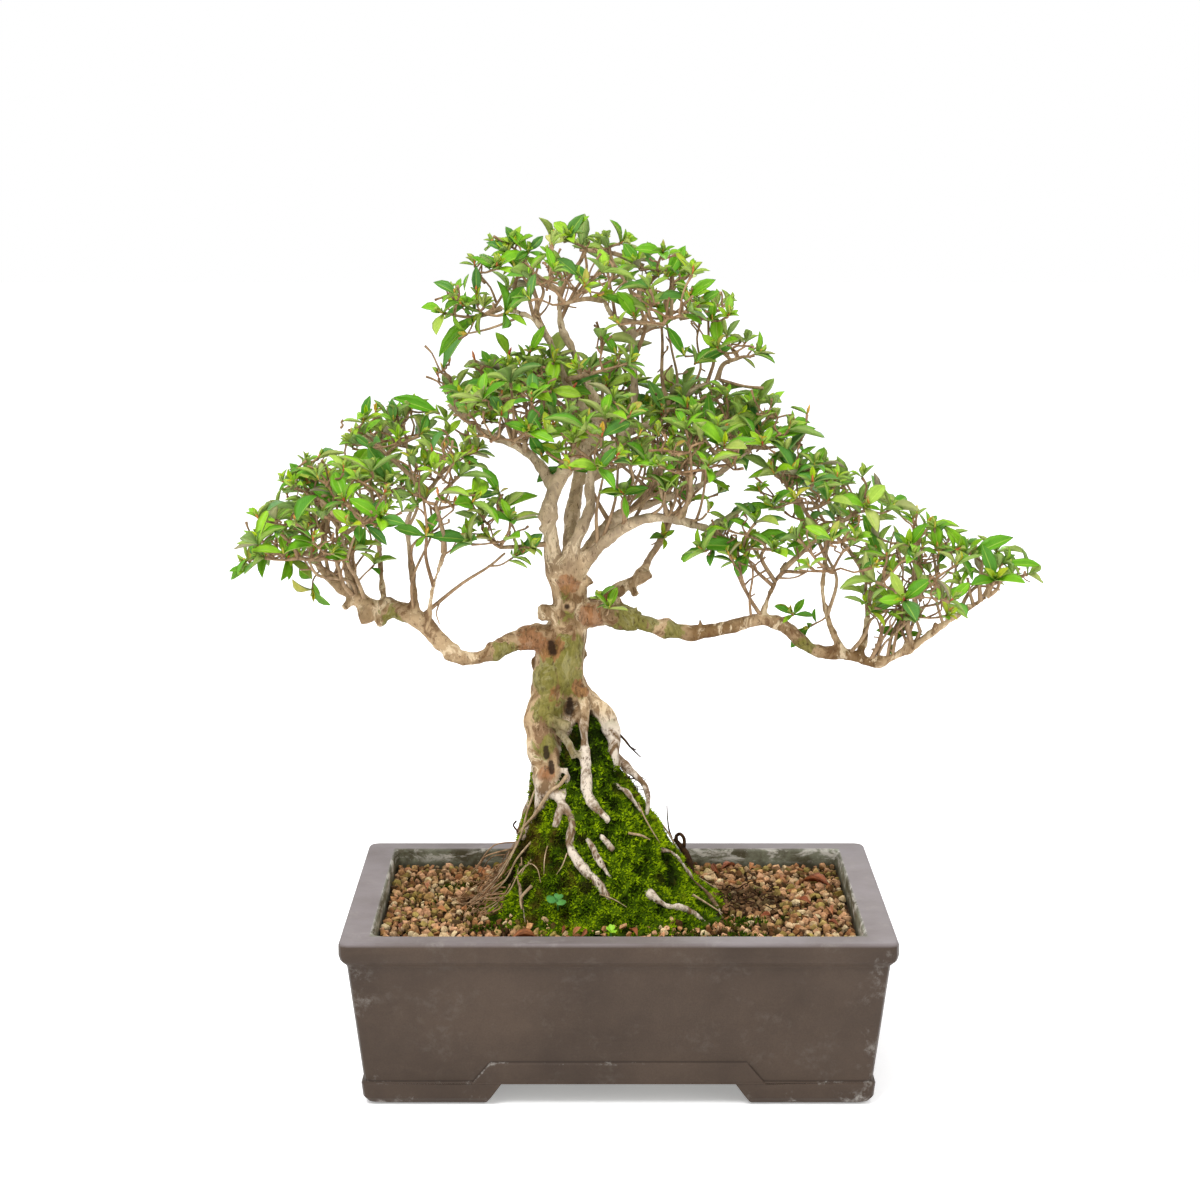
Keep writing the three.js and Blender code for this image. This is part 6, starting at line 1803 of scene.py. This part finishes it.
def add_large_leaves(chains, leaves, buds, region, draw):
    """Each large leaf on its own short twig from the nearest one, with a few small leaves at its foot."""
    twigs = np.array(chains.points)
    last = None
    for x, z, tip_x, tip_z, breadth in LARGE_LEAVES[region]:
        if last != (x, z):
            last = (x, z)
            places = [in_line(x, z, y) for y in (-34, -22, -10, 2)]
            away = np.array([np.linalg.norm(twigs - place, axis=1) for place in places])
            near, best = np.unravel_index(int(np.argmin(away + 0.15 * np.arange(4)[:, None])), away.shape)
            base, start = places[near], twigs[best]
            if away[near, best] > 1.0:
                chains.add(crooked(start, base, draw, 0.2, 3.0), [0.75, 0.6, 0.8], 0.3)
            twig = shoot(start, base, unit(vec(tip_x - x, -12, tip_z - z + 14)), 6.3 * draw())
            unfold_whorl(leaves, buds, twig, LOW_RINGS, draw, 0.7 + 0.3 * draw())
        tip = in_line(tip_x, tip_z, base[1] + 6 * (draw() - 0.6))
        along = unit(tip - base)
        face = unit(vec(0.5 * (draw() - 0.5), -0.75 - 0.5 * draw(), 0.6))
        leaves.add(base, along, face, gap(tip, base), breadth, 0 if draw() < 0.6 else 1,
                   0.12 * draw(), 0.7 * draw())


def add_stubs(chains, points, draw, count, length, thick):
    """Short dead spurs where old shoots were cut back."""
    for _ in range(count):
        k = int(draw() * (len(points) - 2)) + 1
        way = unit(vec(draw() - 0.5, draw() - 0.5, draw() - 0.3))
        reach = length * (0.5 + draw())
        chains.add(bowed(points[k], points[k] + way * reach, draw, 0.3, 2.5), [thick, 0.8 * thick], 0.5)


def make_crown(stalks, bark, leaf_material, bud_material, leaf_shapes, bud):
    """Twigs and leaves of every spray, one piece of each for each region of the crown, and the buds of all in
    one piece.
    """
    buds = Leaves()
    for number, region in enumerate(REGIONS):
        chains = Chains()
        leaves = Leaves()
        nodes = []
        joints = []
        for k, stalk in enumerate(stalks):
            if region_of(stalk["name"]) != region:
                continue
            nodes.append("spray_" + stalk["name"])
            draw = draws(SPRAY_SEED + k)
            main = flowing([stalk["root"], stalk["elbow"], stalk["hub"]], 8)
            chains.add(main, [2.2, 1.7, 1.5, 1.3], 0.8)
            add_stubs(chains, main, draw, 2, 5, 0.8)
            joints += [stalk["elbow"] + (stalk["hub"] - stalk["elbow"]) * t for t in (0.5, 1.0)]
            for twig in stalk["twigs"]:
                twig = drawn_in(twig)
                path = crooked(twig["start"], twig["tip"], draw, 0.2)
                joints.append(path[len(path) // 2])
                chains.add(path, [1.3, 1.05, 0.9, 0.85, 1.25], 0.45)
                add_stubs(chains, path, draw, 1, 5, 0.6)
                unfold_whorl(leaves, buds, twig, MAIN_RINGS, draw, 0.92 + 0.2 * draw())
            for twig in stalk["fine"]:
                twig = drawn_in(twig)
                path = crooked(twig["start"], twig["tip"], draw, 0.26)
                chains.add(path, [0.95, 0.75, 0.65, 0.7, 1.1], 0.15 + 0.3 * draw())
                if draw() < 0.4:
                    joints.append(path[len(path) // 2])
                    add_stubs(chains, path, draw, 1, 5, 0.5)
                unfold_whorl(leaves, buds, twig, fine_rings(draw), draw, 0.95 + 0.4 * draw())
            for _ in range(BARE_TWIGS):
                start = joints[-1 - int(draw() * min(6, len(joints)))]
                way = unit(start - stalk["middle"] + vec(draw() - 0.5, draw() - 0.5, draw()) * 30)
                tip = start + way * (9 + 14 * draw())
                if inside_reach(tip + vec(0, 0, 8)):
                    chains.add(crooked(start, tip, draw, 0.35, 3.0), [0.8, 0.6, 0.55, 0.9],
                               0.1 + 0.3 * draw())
        add_risers(chains, leaves, buds, region, np.array(joints), draws(RISER_SEED + number))
        add_odd_shoots(chains, leaves, buds, region, draws(ODD_SEED + number))
        add_large_leaves(chains, leaves, buds, region, draws(LARGE_SEED + number))
        stems("twigs_" + region, chains, 5, bark, "twig_bark", *nodes)
        blades("leaves_" + region, leaves, leaf_shapes, leaf_material, "leaf", *nodes)
    blades("bud_scales", buds, [bud] * 3, bud_material, "leaf")


# ---------------------------------------------------------------- litter, seedlings and fine roots

FALLEN_GREEN = (74, -90, 4, 24)
LITTER = (
    (-60, -80, 12, 19), (-30, -91, 70, 15), (20, -95, 170, 17), (78, 90, 40, 14), (136, 48, 150, 22),
    (140, -18, 100, 14),
)
# Broken bits of dry leaf: X, Y and how far each stands up.
LEAF_CRUMBS = (
    (-29, -84, 0.9), (-24, -86, 0.8), (-36, -78, 0.2), (-54, -78, 0.1), (12, -84, 0.2), (62, -62, 0.1),
    (100, -42, 0.3), (128, -12, 0.2), (112, 44, 0.3), (92, 72, 0.6), (70, 64, 0.7), (-112, -30, 0.2),
    (-128, 24, 0.1), (-96, 62, 0.4), (-70, 80, 0.2), (142, -60, 0.1), (-140, -70, 0.2),
)


def make_litter(leaf_shapes, dry_material, leaf_material):
    """Dry leaves lying on the granules, and one green one."""
    draw = draws(LITTER_SEED)
    for number, (x, y, degrees, length) in enumerate(LITTER, 1):
        node = "fallen_leaf_%d" % number
        along = heading(math.radians(degrees), 0.1 * (draw() - 0.5))
        base = vec(x, y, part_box(node)[0][2] / MM + 0.9) - along * length / 2
        leaf = Leaves()
        leaf.add(base, along, vec(0.3 * (draw() - 0.5), 0.3 * (draw() - 0.5), 1), length, 0.42, 3, 0, draw())
        blades("dry_leaf_%d" % number, leaf, leaf_shapes, dry_material, "dry_leaf", node)
    crumbs = Leaves()
    for x, y, lean in LEAF_CRUMBS:
        along = unit(heading(TURN * draw(), lean))
        face = unit(vec(draw() - 0.5, -0.6, 1.1 - lean))
        crumbs.add(vec(x, y, CRUMB_HEIGHT), along, face, 7 + 4 * draw(), 0.45, 3, 0, 0.3 + 0.7 * draw())
    blades("leaf_crumbs", crumbs, leaf_shapes, dry_material, "dry_leaf")
    x, y, degrees, length = FALLEN_GREEN
    along = heading(math.radians(degrees))
    base = vec(x, y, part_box("fallen_leaf_green")[0][2] / MM + 0.8) - along * length / 2
    leaf = Leaves()
    leaf.add(base, along, vec(0, 0, 1), length, 0.36, 0, 0.1, 0.4)
    blades("fallen_leaf_fresh", leaf, leaf_shapes, leaf_material, "leaf", "fallen_leaf_green")


def round_leaflet():
    """A clover leaflet: a notched round blade, folded a little along its middle."""
    outline = ((0.0, 0.06), (0.3, 0.34), (0.62, 0.5), (0.88, 0.42), (1.0, 0.22))
    points = []
    for t, half in outline:
        for share in (-1.0, 0.0, 1.0):
            notch = -0.08 if share == 0 and t == 1.0 else 0.0
            points.append((share * half, t + notch, 0.14 * abs(share) + 0.12 * t - 0.2 * t * t))
    count = len(points)
    points += [(x, y, z - 0.05) for x, y, z in points]
    faces = []
    for row in range(len(outline) - 1):
        for k in range(2):
            a = 3 * row + k
            faces.append((a, a + 1, a + 4, a + 3))
            faces.append((count + a, count + a + 3, count + a + 4, count + a + 1))
        a = 3 * row
        faces.append((a, a + 3, count + a + 3, count + a))
        faces.append((a + 2, count + a + 2, count + a + 5, a + 5))
    end = 3 * (len(outline) - 1)
    faces.append((end, end + 1, count + end + 1, count + end))
    faces.append((end + 1, end + 2, count + end + 2, count + end + 1))
    faces.append((0, count, count + 1, 1))
    faces.append((1, count + 1, count + 2, 2))
    return template(from_lists("clover_leaflet", points, faces))


def make_seedlings(material):
    """The clover on the mound and the sprout in the soil, each with its stems."""
    leaflet = round_leaflet()
    for name, node, foot, top, length in (
        ("clover", "seedling_clover", (-39, -60, 112), (-39, -67, 122), 6.6),
        ("sprout", "seedling_front", (-4, -90, 96), (-5, -91, 108), 5.6),
    ):
        clover = name == "clover"
        draw = draws(len(name) * 31)
        chains = Chains()
        chains.add(bowed(vec(*foot), vec(*top), draw, 0.3, 1.5), [0.55, 0.4])
        stems(name + "_stem", chains, 6, material, "seedling", node)
        leaf = Leaves()
        axis = unit(vec(0.1, -0.45, 1))
        across = unit(np.cross(vec(1, 0, 0), axis))
        onward = np.cross(axis, across)
        for n in range(3):
            turn = TURN * (n + 0.2 * draw()) / 3 + 0.6
            out = across * math.cos(turn) + onward * math.sin(turn)
            tilt = math.radians(12 if clover else 30 + 25 * draw())
            along = out * math.cos(tilt) + axis * math.sin(tilt)
            face = axis * math.cos(tilt) - out * math.sin(tilt)
            leaf.add(vec(*top), along, face, length * (0.85 + 0.25 * draw()), 1.1 if clover else 0.8,
                     0, 0.5, 0.1 * draw() if clover else 1.0)
        blades(name + "_leaves", leaf, [leaflet] * 4, material, "seedling", node)


# Thin roots that hang over the moss: [way round, height, stand-off] of each point, and thickness.
FINE_ROOTS = (
    ((-150, 190, 0), (-158, 172, 3), (-165, 150, 3), (-172, 128, 3), (-176, 106, 4), 0.9),
    ((-150, 150, 0), (-157, 138, 3), (-162, 124, 2), (-168, 112, 5), (-174, 103, 9), 0.8),
    ((-143, 140, 0), (-149, 130, 2), (-152, 118, 2), (-160, 104, 4), 0.7),
    ((-160, 160, 1), (-172, 138, 3), (-178, 118, 5), (-182, 101, 10), 0.8),
    ((-147, 130, 1), (-143, 136, 3), (-138, 139, 4), (-131, 137, 4), (-127, 129, 2), 0.55),
    ((-128, 152, 1), (-128, 144, 3), (-126, 134, 2), 0.5),
    ((-111, 148, 1), (-113, 141, 3), (-117, 135, 1), 0.5),
    ((-133, 126, 2), (-137, 118, 4), (-135, 112, 3), 1.2),
    ((-21, 174, 2), (-28, 165, 3), (-30, 156, 3), (-27, 149, 1), 0.6),
    ((-55, 159, 1), (-46, 157, 4), (-38, 153, 2), 1.0),
    ((-26, 116, 3), (-22, 110, 4), (-20, 103, 3), 0.9),
    ((-88, 125, 2), (-80, 122, 3), (-74, 117, 1), 0.5),
    ((10, 196, 1), (18, 170, 2), (14, 146, 2), (22, 120, 2), (20, 104, 4), 0.8),
    ((60, 190, 1), (72, 168, 2), (66, 144, 2), (74, 120, 2), (78, 104, 4), 0.8),
    ((120, 188, 1), (128, 160, 2), (122, 136, 2), (130, 112, 2), 0.8),
    ((150, 180, 1), (160, 158, 2), (166, 132, 3), (172, 106, 4), 0.9),
)
# The root that crosses in front of the left leg's foot.
CROSSING_ROOT = (
    (-33, -27, 195), (-38, -33.5, 190), (-44, -34.5, 186), (-49, -33, 178), (-54, -28, 169), (-60, -19, 160),
    (-65, -10, 152),
)
# Dead twigs and a stump: points, and thickness from first to last.
DEAD_TWIGS = (
    (((49, 16, 112), (48, 16, 124), (45, 17, 132), (38, 20, 140)), (3.2, 2.8, 2.2, 1.2)),
    (((36.6, 20, 140), (34.6, 20, 146), (33.6, 20, 154), (33.1, 20, 163)), (0.7, 0.5, 0.35)),
    (((40, 19, 137), (39.5, 19, 142), (42, 19, 143.4), (44.6, 18, 140.6), (44.6, 18, 134)), (1.3, 1.2)),
    (((40, 20, 130), (36, 18, 134), (32, 16, 136)), (0.9, 0.5)),
    (((-64, -6, 149), (-67, -3, 152), (-69, -2, 155), (-67, -2, 158)), (0.9, 0.7)),
    (((-52, -40, 122), (-60, -46, 112), (-72, -52, 104)), (0.9, 0.4)),
    (((-60, -34, 114), (-72, -38, 108), (-84, -40, 104)), (0.9, 0.4)),
    (((0, -9, 219), (5, -10, 214), (8, -10, 210), (15, -10, 203)), (0.9, 0.8, 0.4)),
    (((8, -10, 210), (10, -11, 209), (12, -11, 208)), (0.7, 0.4)),
)


def make_fine_roots(material, dark_material):
    """Thin roots draped over the moss, and the tangle of dead fibres at the mound's left foot."""
    chains = Chains()
    for *route, thick in FINE_ROOTS:
        chains.add(flowing([on_mound(*point) for point in route], 6), [thick, 0.8 * thick, 0.45 * thick], 1.0)
    chains.add(flowing(CROSSING_ROOT, 5), [1.5, 1.15, 1.3, 1.1, 0.8], 1.0)
    draw = draws(FIBRE_SEED)
    for _ in range(64):
        angle = -150 - 60 * draw()
        high = 104 + 44 * draw() ** 1.5
        start = on_mound(angle, high, 1.0)
        end = on_mound(angle - 10 + 30 * (draw() - 0.5), max(FIBRE_LOWEST, high - 18 - 24 * draw()),
                       4 + 24 * draw() ** 2)
        end[2] = max(end[2], FIBRE_LOWEST)
        chains.add(crooked(start, end, draw, 0.45, 3.0), [0.3 + 0.4 * draw(), 0.25], 0.55 * draw() ** 2)
    stems("fine_roots", chains, 5, material, "bark")
    dead = Chains()
    for corners, thick in DEAD_TWIGS:
        dead.add(flowing(corners, 4), thick, 0.1)
    for _ in range(16):
        middle = vec(9, -8, 182) + jitter(draw) * 12
        way = unit(jitter(draw)) * (4 + 3 * draw())
        dead.add(crooked(middle - way, middle + way, draw, 0.9, 2.0), [0.32, 0.26], 0.2)
    for _ in range(90):
        x, y = 48 + 60 * draw() ** 1.4, -26 + 66 * draw()
        way = heading(TURN * draw()) * (3 + 10 * draw() ** 2)
        start = vec(x, y, bed_height(x, y) + 4.6)
        end = start + way + vec(0, 0, 3 * draw())
        dead.add(crooked(start, end, draw, 0.5, 3.0), [0.35 + 0.5 * draw(), 0.3], 0.0)
    stems("dead_fibres", dead, 4, dark_material, "twig_bark")


# ---------------------------------------------------------------- putting it together

TEMPLATES = []
SWEEP = sweep_tree()
PLACE = place_tree(4)
strew_moss = scatter_tree(3, True)
strew_granules = scatter_tree(3, False)

bark = azalea_bark()
twig_bark = twig_finish()
moss_green = moss_finish("moss", (28, 44, 2), (82, 112, 4), (160, 186, 14))
moss_shade = moss_finish("moss_in_shade", (24, 34, 2), (56, 78, 4), (98, 124, 8))
granules = baked_granules()
leaf_material = leaf_finish()

make_pot(fired_clay())
lattice = mesh_plastic()
for node in ("drain_mesh_left", "drain_mesh_right"):
    mesh_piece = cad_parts[node]
    if not mesh_piece.material_slots:
        mesh_piece.data.materials.append(lattice)
    for entry in mesh_piece.material_slots:
        entry.material = lattice

make_soil(strew_granules, damp_soil(), granules)
make_mound(moss_shade)
make_moss(strew_moss, moss_green)
make_trunk(bark)
make_branches(bark)

wood = limb_bars()
stalks = plant_stalks(wood)
tips = grow_shoots(stalks, wood)
grow_fine_twigs(stalks, tips, wood)
leaf_shapes = [
    leaf_shape("leaf_flat", 0.03, 0.06, 0.3),
    leaf_shape("leaf_recurved", 0.12, 0.3, 0.36),
    leaf_shape("leaf_young", 0.02, -0.1, 0.7),
    leaf_shape("leaf_dry", 0.45, 0.5, 0.5),
]
make_crown(stalks, twig_bark, leaf_material, bud_finish(), leaf_shapes, bud_shape())
make_litter(leaf_shapes, dry_leaf_finish(), leaf_material)
make_seedlings(seedling_finish())
make_fine_roots(twig_bark, damp_soil())

for shape in TEMPLATES:
    bpy.data.objects.remove(shape)

# ---------------------------------------------------------------- floor, light and camera

ground = bpy.data.meshes.new("floor")
ground.from_pydata([(-9, -9, 0), (9, -9, 0), (9, 9, 0), (-9, 9, 0)], [], [(0, 1, 2, 3)])
floor = linked("floor", ground)
floor.data.materials.append(floor_finish())

world = bpy.data.worlds.new("studio")
bpy.context.scene.world = world
world.use_nodes = True
sky = world.node_tree


def sky_node(kind, output, inputs=()):
    return new_node(sky, "ShaderNode" + kind, inputs).outputs[output]


# Brighter overhead than at the sides; plain white where the camera looks past the floor.
lit = sky.nodes["Background"]
height = sky_node("SeparateXYZ", "Z", {"Vector": sky_node("TexCoord", "Generated")})
wire(sky, sky_node("MapRange", "Result", {
    "Value": height, "From Min": -0.1, "From Max": 0.9, "To Min": SKY_SIDE, "To Max": SKY_TOP,
}), lit.inputs["Strength"])
wire(sky, (1, 1, 1, 1), lit.inputs["Color"])
white = sky_node("Background", "Background", {"Color": (1, 1, 1, 1), "Strength": 1.0})
shown = sky_node("MixShader", "Shader", {
    "Fac": sky_node("LightPath", "Is Camera Ray"), 1: lit.outputs["Background"], 2: white})
wire(sky, shown, sky.nodes["World Output"].inputs["Surface"])


def soft_light(name, place, target, side, watts):
    lamp = bpy.data.lights.new(name, "AREA")
    lamp.shape = "SQUARE"
    lamp.size = side
    lamp.energy = watts
    light = linked(name, lamp)
    light.location = place
    light.rotation_euler = (Vector(target) - Vector(place)).to_track_quat("-Z", "Y").to_euler()


soft_light("key", (-0.9, -1.5, 2.6), (0, 0, 0.3), 1.1, 54)
soft_light("fill", (1.7, -1.5, 1.2), (0, 0, 0.3), 1.6, 8)
soft_light("back", (0.4, 1.8, 1.8), (0, 0, 0.3), 1.4, 18)

lens = bpy.data.cameras.new("camera")
lens.lens = CAMERA_LENS
lens.sensor_width = 36
camera = linked("camera", lens)
camera.location = metres(CAMERA_PLACE)[0]
camera.rotation_euler = (math.radians(90 - CAMERA_PITCH), 0, 0)
bpy.context.scene.camera = camera
bpy.context.scene.view_settings.view_transform = "Standard"
